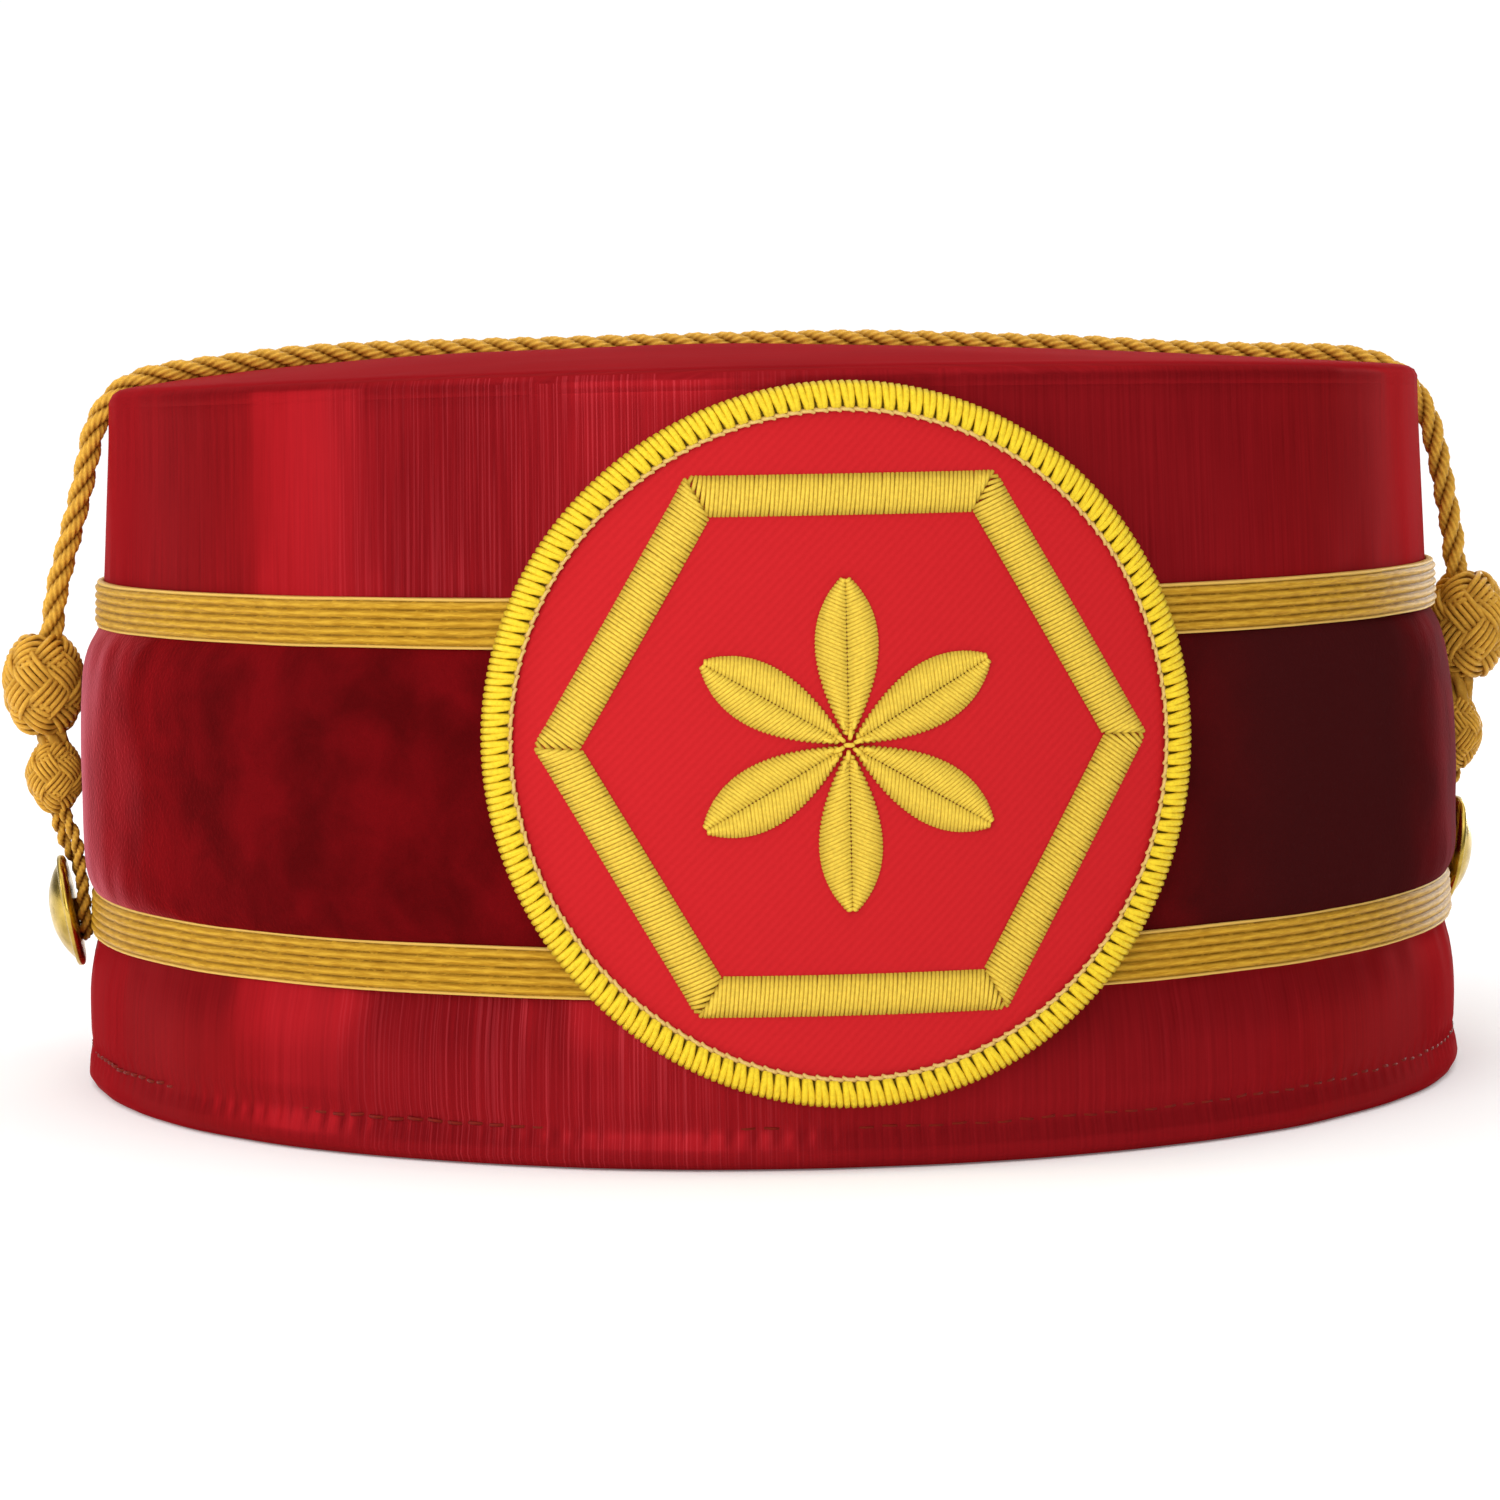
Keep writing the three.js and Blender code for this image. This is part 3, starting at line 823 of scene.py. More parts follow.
@dataclass
class Studio:
    """The camera at the photograph's place, soft light from the left and front, and a pale floor."""

    eye: Point3 = (-0.0607, -0.6688, 0.0862)
    lens_mm: float = 127.29
    sensor_mm: float = 36.0
    heading: float = 0.0876
    pitch: float = 0.0701
    roll: float = -0.0182
    floor_half: float = 4.0
    # Where the lights point.
    aim: Point3 = (0.0, 0.0, 0.045)
    # Each soft box: its name, its place, its width and height in metres, and its power in watts.
    boxes: Sequence[tuple[str, Point3, Pair, float]] = (
        ("key_left", (-0.8, 0.04, 0.17), (0.29, 0.5), 1.7),
        ("rim_right", (0.75, 0.98, 0.22), (0.3, 0.55), 2.9),
        ("fill_front", (-0.55, -1.0, 0.45), (0.8, 0.6), 4.8),
    )

    def camera(self) -> None:
        """Sets the camera up."""
        data = bpy.data.cameras.new("camera")
        data.lens = self.lens_mm
        data.sensor_width = self.sensor_mm
        camera = add_object("camera", data)
        turn = Matrix.Rotation(-self.heading, 4, "Z") @ Matrix.Rotation(math.pi / 2 - self.pitch, 4, "X")
        camera.matrix_world = Matrix.Translation(self.eye) @ turn @ Matrix.Rotation(self.roll, 4, "Z")
        bpy.context.scene.camera = camera

    def lights(self) -> None:
        """Hangs the soft boxes: a tall key at the left, a rim box behind and a front fill."""
        for name, place, size, power in self.boxes:
            data = bpy.data.lights.new(name, "AREA")
            data.shape = "RECTANGLE"
            data.size, data.size_y = size
            data.energy = power
            turn = (Vector(self.aim) - Vector(place)).to_track_quat("-Z", "Y").to_matrix().to_4x4()
            add_object(name, data).matrix_world = Matrix.Translation(place) @ turn

    def surround(self) -> None:
        """Puts a white surround about the set, bright behind and above and darker beside it."""
        world = bpy.data.worlds.new("white_surround")
        world.use_nodes = True
        add = partial(add_node, world.node_tree)
        away = add("TexCoord")
        parts = add("SeparateXYZ", {"Vector": away.outputs["Generated"]}).outputs
        behind = add("MapRange", {"Value": parts["Y"], "From Min": 0.6, "From Max": 0.9,
                                  "To Min": 0.4, "To Max": 1.05})
        sideways = add("Math", {0: parts["X"]}, operation="ABSOLUTE")
        beside = add("MapRange", {"Value": sideways, "From Min": 0.32, "From Max": 0.6,
                                  "To Min": 1.0, "To Max": 0.45})
        flagged = add("MapRange", {"Value": parts["X"], "From Min": -0.7, "From Max": -0.25,
                                   "To Min": 0.45, "To Max": 1.0})
        masked = add("Math", {0: beside, 1: flagged}, operation="MULTIPLY")
        around = add("Math", {0: behind, 1: masked}, operation="MULTIPLY")
        above = add("MapRange", {"Value": parts["Z"], "From Min": 0.4, "From Max": 0.85})
        whole = add("Mix", {0: above, 2: around, 3: 1.5}, data_type="FLOAT")
        feed(world.node_tree.nodes["Background"], {"Strength": whole, "Color": (1.0, 1.0, 1.0, 1.0)})
        bpy.context.scene.world = world
        bpy.context.scene.view_settings.view_transform = "Standard"

    def floor(self) -> None:
        """Lays the pale floor at the rim's height."""
        bm = bmesh.new()
        bmesh.ops.create_grid(bm, x_segments=8, y_segments=8, size=self.floor_half)
        mesh = to_mesh(bm, "floor")
        mesh.materials.append(PaperSweep().material())
        floor = add_object("floor", mesh)

    def build(self) -> None:
        """Builds the whole set."""
        self.camera()
        self.lights()
        self.surround()
        self.floor()


@dataclass
class Rope(SubAssembly):
    """A twisted cord: ridged strands laid round a route with a right-hand twist."""

    diameter: float
    strands: int
    turn_mm: float
    yarns: int = 5
    # How much thicker the strands are than ones that only touch, since they press into each other.
    swell: float = 1.12
    # The yarns turn in this share of the cord's own turn.
    yarn_turn: float = 0.45
    # How far from the cord's middle its grooves and crowns lie, as shares of the diameter.
    groove: float = 0.26
    crest: float = 0.47

    def mesh(self, line: Line, across: Vector) -> Mesh:
        """Lays the strands round a line.

        Args:
            line: Fine points along the route, in mm.
            across: A direction square to the route's start.

        Returns:
            The cord's mesh in metres, with its crowns marked.
        """
        strand = self.diameter / 2 / (1 + 1 / math.sin(math.pi / self.strands)) * self.swell
        offset = self.diameter / 2 - strand
        frames = carried_frames(line, across)
        pitch = length_of(line) / (len(line) - 1)
        lines = []
        for k in range(self.strands):
            turns = [math.tau * (i * pitch / self.turn_mm + k / self.strands) for i in range(len(line))]
            lines.append([(p + n * offset * math.cos(a) + b * offset * math.sin(a)) * MM
                          for p, (n, b), a in zip(line, frames, turns)])
        twist = -math.tau * pitch / (self.turn_mm * self.yarn_turn)
        mesh = swept(lines, strand * MM, self.yarns * 4, ridges=self.yarns, twist=twist)
        tree = KDTree(len(line))
        for i, point in enumerate(line):
            tree.insert(point * MM, i)
        tree.balance()
        low, high = self.diameter * self.groove * MM, self.diameter * self.crest * MM
        return self.crowned(mesh, lambda co: (tree.find(co)[2] - low) / (high - low))


@dataclass
class CapCord(SubAssembly):
    """The twisted gold cord over the top, with its knots and the loops on the buttons."""

    diameter: float = 3.0
    strands: int = 3
    turn_mm: float = 10.9
    step_mm: float = 0.5
    # The route of the cord over the cap, (x, z) in mm, in the plane y = 0.
    route: Rows = ((-90.2, 52.6), (-89.4, 56.4), (-88.8, 60.5), (-88, 63.9), (-87, 67.4), (-86.1, 70.7),
                   (-85.2, 74.1), (-84.4, 77.6), (-83.6, 81), (-82.9, 82.6), (-82, 84), (-80.9, 85.3),
                   (-79.5, 86.4), (-77.6, 87.3), (-75, 87.9), (-71.5, 88.4), (-66, 89), (-60.5, 89.6),
                   (-54, 90), (-46, 90.2), (-21, 90.4), (4, 90.6), (15, 90.5), (25, 90.1), (42, 89.3),
                   (49, 88.8), (57, 88.3), (66, 88), (72, 87.8), (76, 87.4), (79.3, 86.6), (81.2, 85.7),
                   (82.7, 84.6), (84, 83), (85.1, 81.2), (86, 79), (86.8, 75.8), (87.5, 72.3),
                   (88.1, 68.8), (88.8, 64.6), (89.2, 60.4), (90.2, 56.6))

    def build(self) -> Object:
        """Returns:
            The cord.
        """
        line = smooth_path([(x, 0.0, z) for x, z in self.route], self.step_mm)
        mesh = Rope(self.diameter, self.strands, self.turn_mm).mesh(line, Vector((0, 1, 0)))
        cord = self.hand_over(mesh, "gold_cord", CORD_THREAD, Slot.CORD, "cap_cord")
        # Each knot: side, name, reach, height, radius, half height and fullness.
        knots = (GlobeKnot(Side.LEFT, "upper_knot", 90.6, 49.5, 5.3, 6.6, 2.0, neck=(89.5, 40.5)),
                 GlobeKnot(Side.LEFT, "lower_knot", 89.5, 38.05, 3.9, 5.0, 1.5),
                 GlobeKnot(Side.RIGHT, "upper_knot", 90.6, 53.0, 5.3, 7.1, 2.0, neck=(89.2, 42.0)),
                 GlobeKnot(Side.RIGHT, "lower_knot", 89.1, 39.4, 3.5, 5.1, 1.5))
        ends = [piece.build() for piece in (*knots, *(ButtonLoop(side) for side in Side))]
        return cord


@dataclass
class GlobeKnot(SubAssembly):
    """A globe knot: parallel strands woven over and under round a barrel, as in a Turk's head."""

    side: Side
    name: str
    reach: float
    height: float
    radius: float
    half_height: float
    fullness: float
    leads: int = 5
    bights: int = 6
    strands: int = 5
    steps_a_turn: int = 72
    # The core's ends, as a share of the half height.
    core_level: float = 0.9
    # Where the bundle of strands below the knot ends inside the next one, (x, z) in mm.
    neck: Pair | None = None
    neck_strands: int = 5
    neck_strand: float = 1.5
    neck_turn: float = 0.3
    neck_steps: int = 8

    def level(self, z: float) -> float:
        """The level from -1 to 1 of a height above the middle in mm, kept just inside the barrel's ends."""
        return max(-0.97, min(0.97, z / self.half_height))

    def girth(self, level: float) -> float:
        """The barrel's share of its full radius at a level from -1 to 1."""
        return max(0.05, 1 - abs(level) ** self.fullness) ** (1 / self.fullness)

    def neck_lines(self) -> list[list[Vector]]:
        """Lays the bundle of strands that leaves the knot's foot.

        Returns:
            The strands' centre lines in metres.
        """
        top = Vector((self.side.value * (self.neck[0] + 0.3), 0.0, self.height - 0.7 * self.half_height))
        foot = Vector((self.side.value * self.neck[0], 0.0, self.neck[1]))
        ring = self.neck_strand / 2 / math.sin(math.pi / self.neck_strands)
        lines = []
        for k in range(self.neck_strands):
            line = []
            for i in range(self.neck_steps + 1):
                turn = math.tau * (k / self.neck_strands + self.neck_turn * i / self.neck_steps)
                off = ring * Vector((math.cos(turn), math.sin(turn), 0.0))
                line.append((top.lerp(foot, i / self.neck_steps) + off) * MM)
            lines.append(line)
        return lines

    def build(self) -> Object:
        """Weaves the strands and the core.

        Returns:
            The knot.
        """
        slope = math.atan2(0.8 * self.half_height * self.bights / self.leads, self.radius)
        thread = math.pi * self.radius * 0.9 / self.bights * math.sin(slope) / self.strands
        middle = Vector((self.side.value * self.reach, 0.0, self.height))
        wave = 0.95 * thread
        body = self.radius - wave - thread
        swing = self.half_height - thread * (self.strands + 0.6)
        steps = self.steps_a_turn * self.leads
        crossings, phase = self.bights * (self.leads - 1), (2 - self.leads) * math.pi / 2
        route, overs = [], []
        for i in range(steps):
            t = math.tau * self.leads * i / steps
            z = swing * math.sin(self.bights * t / self.leads)
            r = body * self.girth(z / self.half_height)
            route.append(Vector((r * math.cos(t), r * math.sin(t), z)))
            overs.append(wave * math.cos(crossings * t / self.leads + phase))
        lines = []
        for k in range(self.strands):
            shift = (k - (self.strands - 1) / 2) * 2 * thread
            line = []
            for i, point in enumerate(route):
                along = (route[(i + 1) % steps] - route[i - 1]).normalized()
                out = Vector((point.x, point.y, 0)).normalized()
                moved = point + out.cross(along).normalized() * shift
                reach = body * self.girth(self.level(moved.z)) + overs[i]
                flat = Vector((moved.x, moved.y, 0)).normalized() * reach
                line.append((middle + Vector((flat.x, flat.y, moved.z))) * MM)
            lines.append(line)
        mesh = swept(lines, thread * MM, THREAD_SIDES, cyclic=True)
        end = self.core_level
        levels = [-end + 2 * end * i / 12 for i in range(13)]
        core = [((body - 1.2 * thread) * self.girth(level), level * self.half_height) for level in levels]
        bm = spun([(0.0, -end * self.half_height), *core, (0.0, end * self.half_height)], 32, False)
        bmesh.ops.translate(bm, verts=bm.verts, vec=middle)
        to_metres(bm)
        bm.from_mesh(mesh)
        if self.neck:
            bm.from_mesh(swept(self.neck_lines(), self.neck_strand / 2 * MM, 12, ridges=3, twist=0.5))
        bm.to_mesh(mesh)
        bm.free()

        def crown(co: Vector) -> float:
            """Tells how far a point of the knot or its neck stands out.

            Args:
                co: The point in metres.

            Returns:
                0 in a groove, and 1 on a crown.
            """
            off = co / MM - middle
            if off.z < -0.95 * self.half_height:
                return 0.6
            depth = math.hypot(off.x, off.y) - body * self.girth(self.level(off.z))
            return 0.38 + 0.6 * depth / (wave + thread)

        node = f"{self.side.label}_{self.name}"
        return self.hand_over(self.crowned(mesh, crown), f"{node}_woven", CORD_THREAD, Slot.CORD, node)


@dataclass
class ButtonLoop(SubAssembly):
    """A thin two-strand loop from the lower knot down round the button's shank."""

    side: Side
    diameter: float = 1.75
    strands: int = 2
    turn_mm: float = 4.4
    step_mm: float = 0.35
    # The loop's route below its two ends, in mm for the right-hand side of the cap.
    route: Sequence[Point3] = ((88.6, 1.2, 29.6), (87, 2.6, 26), (86.25, 2.6, 20.6), (86.15, 0, 17.9),
                               (86.25, -2.6, 20.6), (86.5, -2.6, 26), (87, -1.2, 29.6))

    def legs(self) -> tuple[Sequence[Point3], Sequence[Point3]]:
        """Where the two legs come out of the lower knot.

        Returns:
            The first points of the loop's route, and the last ones.
        """
        if self.side is Side.LEFT:
            return ((89.7, 0.3, 35), (89.5, 0.4, 32.7)), ((88.2, -0.4, 32.7), (89, -0.3, 35))
        return ((89.1, 0.5, 34), (89, 0.8, 30.8)), ((87.5, -0.8, 30.8), (88.6, -0.5, 34))

    def build(self) -> Object:
        """Lays the loop's strands.

        Returns:
            The loop.
        """
        first, last = self.legs()
        points = [(self.side.value * x, y, z + self.side.lift) for x, y, z in (*first, *self.route, *last)]
        line = smooth_path(points, self.step_mm)
        mesh = Rope(self.diameter, self.strands, self.turn_mm, yarns=3).mesh(line, Vector((0, 1, 0)))
        node = f"{self.side.label}_loop"
        return self.hand_over(mesh, f"{node}_twisted", CORD_THREAD, Slot.CORD, node)


@dataclass
class OvalCloth(SubAssembly):
    """A cloth piece round the head oval; its work is done on a round shape, which is then drawn out."""

    def drawn_glint_out(self, bm: BMesh) -> None:
        """Draws the round shape out to the oval."""
        bmesh.ops.scale(bm, verts=bm.verts, vec=(1.0, LENGTH_RATIO, 1.0))

    def wrap(self, bm: BMesh, zero: float = 0.0) -> None:
        """Maps the cloth in metres: round the oval, and up from a height.

        Args:
            bm: The round shape in mm.
            zero: The height in mm that the map starts from.
        """
        layer = bm.loops.layers.uv.new("cloth")
        for face in bm.faces:
            middle = face.calc_center_median()
            start = math.atan2(middle.x, -middle.y)
            for loop in face.loops:
                co = loop.vert.co
                turn = math.atan2(co.x, -co.y) - start
                turn = (turn + math.pi) % math.tau - math.pi
                loop[layer].uv = ((start + turn) * MEAN_RADIUS * MM, (co.z - zero) * MM)


@dataclass
class SatinShell(OvalCloth):
    """The satin side with its stitched hem, and the puffed satin top."""

    stitches: int = 208
    hem_z: float = 4.6
    wall: float = 2.4
    top_z: float = 87.5
    # Where the satin goes under the lower braid, and where it comes out above the upper one.
    under_z: float = 18.4
    over_z: float = 62.4
    # The satin sinks with its seam from this height up.
    sink_z: float = 62.0
    # The seam's half-width, and how far it drops at the sides and at the front and back.
    seam_half: float = 82.0
    side_drop: float = 1.8
    end_drop: float = 0.6
    # How far to each side of the cord its pull is felt, and how far it draws in the edge at its two ends.
    cord_spread: float = 8.0
    left_pull: float = 1.2
    right_pull: float = -0.3
    # The top is a little higher at the left: its lean, and the half-width of the part that leans.
    lean: float = 0.018
    lean_half: float = 79.6
    # Cloth seen from above is cut from a place this far along from the pulled stretch.
    top_shift: float = -300.0
    # Outlines from the rim up to the seam, and from inside the seam to the middle of the top, as
    # (half-width, height) rows; the top's underside is the last.
    side_rows: Rows = ((84.2, 0.02), (85.2, 0.1), (85.85, 0.5), (86.1, 1.2), (85.95, 2.8), (85.72, 4.6),
                       (85.75, 6.5), (85.74, 9.5), (85.6, 12.5), (85.15, 15.5), (84.5, 18.0), (84.25, 21),
                       (84.1, 24.9), (83.5, 42), (82.8, 59.7), (82.6, 67), (82.35, 75), (82.15, 82),
                       (82.1, 85.6), (81.95, 86.6), (81.6, 87.1), (81.1, 87.3))
    top_rows: Rows = ((82.0, 84.0), (82.05, 84.8), (82.1, 85.6), (82.14, 86.3), (82.08, 86.9), (81.8, 87.42),
                      (81.2, 87.75), (80, 88.0), (77, 88.2), (72, 88.5), (62, 89.0), (50, 89.46), (40, 89.8),
                      (20, 90.35), (0, 90.6))
    under_rows: Rows = ((0.0, 88.0), (30, 88.0), (62, 87.4), (74, 86.9), (79.6, 86.9), (81.0, 86.4),
                        (81.4, 84.2))
    hem_ripple: Ripple = Ripple(0.22, 11, 9, 1.0)
    under_ripple: Ripple = Ripple(0.4, 5.5, 30, 2.0)
    over_ripple: Ripple = Ripple(0.3, 6.5, 40, 3.0)
    seam_ripple: Ripple = Ripple(0.18, 5, 40, 4.0)
    broad_ripple: Ripple = Ripple(0.4, 34, 50, 5.0)
    pucker_ripple: Ripple = Ripple(0.12, 5.5, 30, 6.0)
    puff_ripple: Ripple = Ripple(0.32, 28, 28, 7.0)

    def lay_flat(self, bm: BMesh) -> None:
        """Maps the faces that look up or down as they are seen from above, with the warp from side to side.

        Args:
            bm: The shape in mm, already wrapped.
        """
        layer = bm.loops.layers.uv["cloth"]
        for face in bm.faces:
            if abs(face.normal.z) < 0.5:
                continue
            for loop in face.loops:
                loop[layer].uv = ((loop.vert.co.y + self.top_shift) * MM, loop.vert.co.x * MM)

    def side_offset(self, s: float, z: float) -> float:
        """How far the satin stands off its plain outline, in mm.

        Args:
            s: The place round the oval in mm.
            z: The height in mm.

        Returns:
            The offset outwards.
        """
        beat = math.cos(math.tau * self.stitches * s / (math.tau * MEAN_RADIUS))
        stitch = -(0.34 + 0.16 * beat) * bell(z - self.hem_z, 0.8)
        hem = self.hem_ripple.at(s, z) * (1 - ease(z, 6, 12))
        under = self.under_ripple.at(s, z) * fade(self.under_z - z, 4.5) * (1 - ease(z, self.under_z, 19))
        over = self.over_ripple.at(s, z) * fade(z - self.over_z, 4) * ease(z, 61.8, 62.6)
        seam = self.seam_ripple.at(s, z) * fade(87 - z, 3.5)
        return stitch + hem + under + over + seam + self.broad_ripple.at(s, z)

    def settle(self, bm: BMesh) -> None:
        """Sinks the satin towards its top edge: lower at the sides, and pressed and pulled by the cord.

        Args:
            bm: The oval shape in mm.
        """
        for vert in bm.verts:
            x, y, z = vert.co
            share = min(1.0, max(0.0, (z - self.sink_z) / (self.top_z - self.sink_z)))
            drop = (self.side_drop * x * x + self.end_drop * (y / LENGTH_RATIO) ** 2) / self.seam_half**2
            near = bell(y, self.cord_spread)
            pull = (self.left_pull if x < 0 else self.right_pull) * ease(abs(x), 72, self.seam_half) * near
            vert.co.z -= (drop + CORD_PRESS.at(x) * near) * share
            vert.co.x += pull * share**4

    def side(self) -> Object:
        """Builds the satin side.

        Returns:
            The side.
        """
        profile = smooth_profile(self.side_rows, 1.3)
        profile += [(SIDE_LINE.at(z) - self.wall, z) for z in (86.8, 80, 68, 56, 44, 32, 20, 12, 6, 1.2)]
        profile.append((83.4, 0.3))
        bm = spun(profile, self.stitches * 4, True)
        self.wrap(bm)
        for vert in bm.verts:
            co = vert.co
            half = math.hypot(co.x, co.y)
            if half > SIDE_LINE.at(co.z) - self.wall / 2 and co.z > 0.2:
                widen(co, 1 + self.side_offset(place_round(co), co.z) / half)
        self.drawn_glint_out(bm)
        self.settle(bm)
        to_metres(bm)
        return self.hand_over(bm, "satin_side", SATIN, Slot.SATIN, "side_wall")

    def top(self) -> Object:
        """Builds the puffed top, with its puckered seam and the soft groove under the cord.

        Returns:
            The top.
        """
        profile = [*self.under_rows, *smooth_profile(self.top_rows, 0.9)[:-1], self.top_rows[-1]]
        bm = spun(profile, 416, False)
        self.wrap(bm)
        for vert in bm.verts:
            co = vert.co
            half = math.hypot(co.x, co.y)
            s = place_round(co)
            fold = self.side_offset(s, co.z) * ease(half, 80.5, 81.8)
            if co.z > 88.15 or half > 81.6:
                co.z += self.pucker_ripple.at(s, half) * fade(81 - half, 4.5) * ease(co.z, 87, 87.8)
                co.z += self.puff_ripple.at(co.x, co.y) * (1 - ease(half, 66, self.seam_half))
            if half > 1.0:
                widen(co, 1 + fold / half)
        self.drawn_glint_out(bm)
        self.lay_flat(bm)
        self.settle(bm)
        for vert in bm.verts:
            x, y, _ = vert.co
            vert.co.z -= self.lean * x * max(0.0, 1 - (math.hypot(x, y / LENGTH_RATIO) / self.lean_half) ** 2)
        to_metres(bm)
        return self.hand_over(bm, "satin_top", SATIN, Slot.SATIN, "top_panel")

    def hem_stitches(self) -> Object:
        """Sews the hem: short sunk stitches all round.

        Returns:
            The stitches.
        """
        arc = [(-1.0, 0, -0.42), (-0.7, 0, 0.02), (0.0, 0, 0.14), (0.7, 0, 0.02), (1.0, 0, -0.42)]
        bm = bmesh.new()
        bm.from_mesh(swept([[Vector(p) for p in arc]], 0.2, THREAD_SIDES))
        first = bm.verts[:] + bm.edges[:] + bm.faces[:]
        chance = random.Random(11)
        for i in range(self.stitches):
            made = bmesh.ops.duplicate(bm, geom=first)["geom"]
            angle = math.tau * (i + 0.5) / self.stitches
            half = SIDE_LINE.at(self.hem_z) - 0.1 + self.side_offset(angle * MEAN_RADIUS, self.hem_z)
            out = Vector((math.sin(angle) * LENGTH_RATIO, -math.cos(angle), 0)).normalized()
            along = Vector((0, 0, 1)).cross(out)
            place = Vector((half * math.sin(angle), -half * math.cos(angle) * LENGTH_RATIO, self.hem_z))
            place.z += chance.uniform(-0.12, 0.12)
            turn = Matrix((along, out.cross(along), out)).transposed().to_4x4()
            slant = Matrix.Rotation(chance.uniform(-0.1, 0.1), 4, "Z")
            bmesh.ops.transform(bm, matrix=Matrix.Translation(place) @ turn @ slant,
                                verts=[v for v in made if isinstance(v, BMVert)])
        bmesh.ops.delete(bm, geom=[v for v in first if isinstance(v, BMVert)], context="VERTS")
        to_metres(bm)
        mesh = self.crowned(to_mesh(bm, "hem_stitches"), lambda co: 0.8)
        return self.hand_over(mesh, "hem_stitches", HEM_THREAD, Slot.SATIN)

    def build(self) -> None:
        """Builds the shell."""
        side, top, hem = self.side(), self.top(), self.hem_stitches()


@dataclass
class VelvetBand(OvalCloth):
    """The velvet band between the braids, full in the middle and pressed in under the badge and the knots."""

    low_z: float = 23.6
    high_z: float = 57.6
    # The band's outline, (half-width, height), and how far its back lies off the satin.
    rows: Rows = ((84.4, 23.6), (85.2, 24.65), (85.9, 26.6), (86.2, 31), (86.25, 40), (86.1, 48),
                  (85.65, 52.4), (84.8, 55), (83.8, 56.55), (83.0, 57.6))
    back: float = 0.15
    front_press: float = 0.64
    side_press: float = 0.36
    # How much flatter the band lies under the upper braid on its right-hand side, in mm.
    right_slack: float = 0.8
    soft_ripple: Ripple = Ripple(0.42, 17, 13, 8.0)
    pucker_ripple: Ripple = Ripple(0.3, 4.5, 30, 9.0)

    def build(self) -> None:
        """Builds the band."""
        profile = smooth_profile(self.rows, 1.0)
        profile += [(SIDE_LINE.at(z) + self.back, z) for z in (self.high_z, 50, 40, 30, self.low_z)]
        bm = spun(profile, 480, True)
        self.wrap(bm)
        for vert in bm.verts:
            co = vert.co
            half, base = math.hypot(co.x, co.y), SIDE_LINE.at(co.z) + self.back
            if half < base + 0.05:
                continue
            s, y = place_round(co), co.y * LENGTH_RATIO
            front = self.front_press * (1 - ease(abs(co.x), 40, 56)) if y < 0 else 0.0
            sides = self.side_press * (1 - ease(abs(y), 2, 10))
            edge = min(co.z - self.low_z, self.high_z - co.z)
            soft = self.soft_ripple.at(s, co.z) * ease(edge, 1, 8)
            pucker = self.pucker_ripple.at(s, co.z) * ease(edge, 0.5, 2.5) * math.exp(-edge / 5)
            slack = self.right_slack * ease(co.z, 34, 52) * ease(co.x, 55, 78)
            kept = base + (half - base + soft + pucker - slack) * (1 - max(front, sides))
            widen(co, kept / half)
        self.drawn_glint_out(bm)
        to_metres(bm)
        band = self.hand_over(bm, "velvet_puff", VELVET, Slot.VELVET, "velvet_band")


@dataclass
class GoldBraid(OvalCloth):
    """A flat braid of five ribs with a fine selvedge at each edge, sewn round the cap."""

    label: str
    z: float
    width: float = 5.7
    ribs: int = 5
    selvedge: float = 0.42
    # How far the braid stands off the satin at its edges and between its ribs, and how far the ribs and
    # the selvedges stand above that.
    edge: float = 0.1
    base: float = 0.62
    crest: float = 0.5
    selvedge_crest: float = 0.24
    rib_steps: int = 6
    rib_ripple: Ripple = Ripple(0.07, 1.6, 1, 10.0)
    sway_ripple: Ripple = Ripple(0.05, 9, 1, 11.0)
    wander_ripple: Ripple = Ripple(0.09, 14, 1, 12.0)

    def section(self, pitch: float) -> list[Pair]:
        """Draws the braid's outer face across its width.

        Args:
            pitch: A rib's width in mm.

        Returns:
            Points as (how far off the satin, how far up from the lower edge).
        """
        lanes = [(0.0, self.selvedge, self.selvedge_crest)]
        lanes += [(self.selvedge + i * pitch, self.selvedge + (i + 1) * pitch, self.crest)
                  for i in range(self.ribs)]
        lanes += [(self.width - self.selvedge, self.width, self.selvedge_crest)]
        outside = [(self.edge, 0.0)]
        for start, end, crest in lanes:
            for i in range(1, self.rib_steps):
                share = i / self.rib_steps
                stand = self.base + crest * math.sin(math.pi * share) ** 0.7
                outside.append((stand, start + (end - start) * share))
            outside.append((self.base if end < self.width else self.edge, end))
        return outside

    def build(self) -> Object:
        """Builds the braid.

        Returns:
            The braid.
        """
        pitch = (self.width - 2 * self.selvedge) / self.ribs
        low = self.z - self.width / 2
        profile = [(SIDE_LINE.at(low + up) + stand, low + up) for stand, up in self.section(pitch)]
        profile += [(SIDE_LINE.at(low + up) + 0.05, low + up) for up in (self.width - 0.3, 0.3)]
        bm = spun(profile, 720, True)
        self.wrap(bm, self.z)
        for vert in bm.verts:
            co = vert.co
            half = math.hypot(co.x, co.y)
            if half - SIDE_LINE.at(co.z) < 0.3:
                continue
            s = place_round(co)
            lane = int((co.z - low - self.selvedge) / pitch)
            off = self.rib_ripple.at(s, lane * 7.3) + self.sway_ripple.at(s)
            widen(co, 1 + off / half)
            co.z += self.wander_ripple.at(s, self.z)
        crests = bm.verts.layers.float.new("crown")
        for vert in bm.verts:
            up = vert.co.z - low - self.selvedge
            vert[crests] = abs(math.sin(math.pi * up / pitch)) ** 0.5
        self.drawn_glint_out(bm)
        to_metres(bm)
        return self.hand_over(bm, f"{self.label}_ribbed", BRAID, Slot.BRAID, self.label)


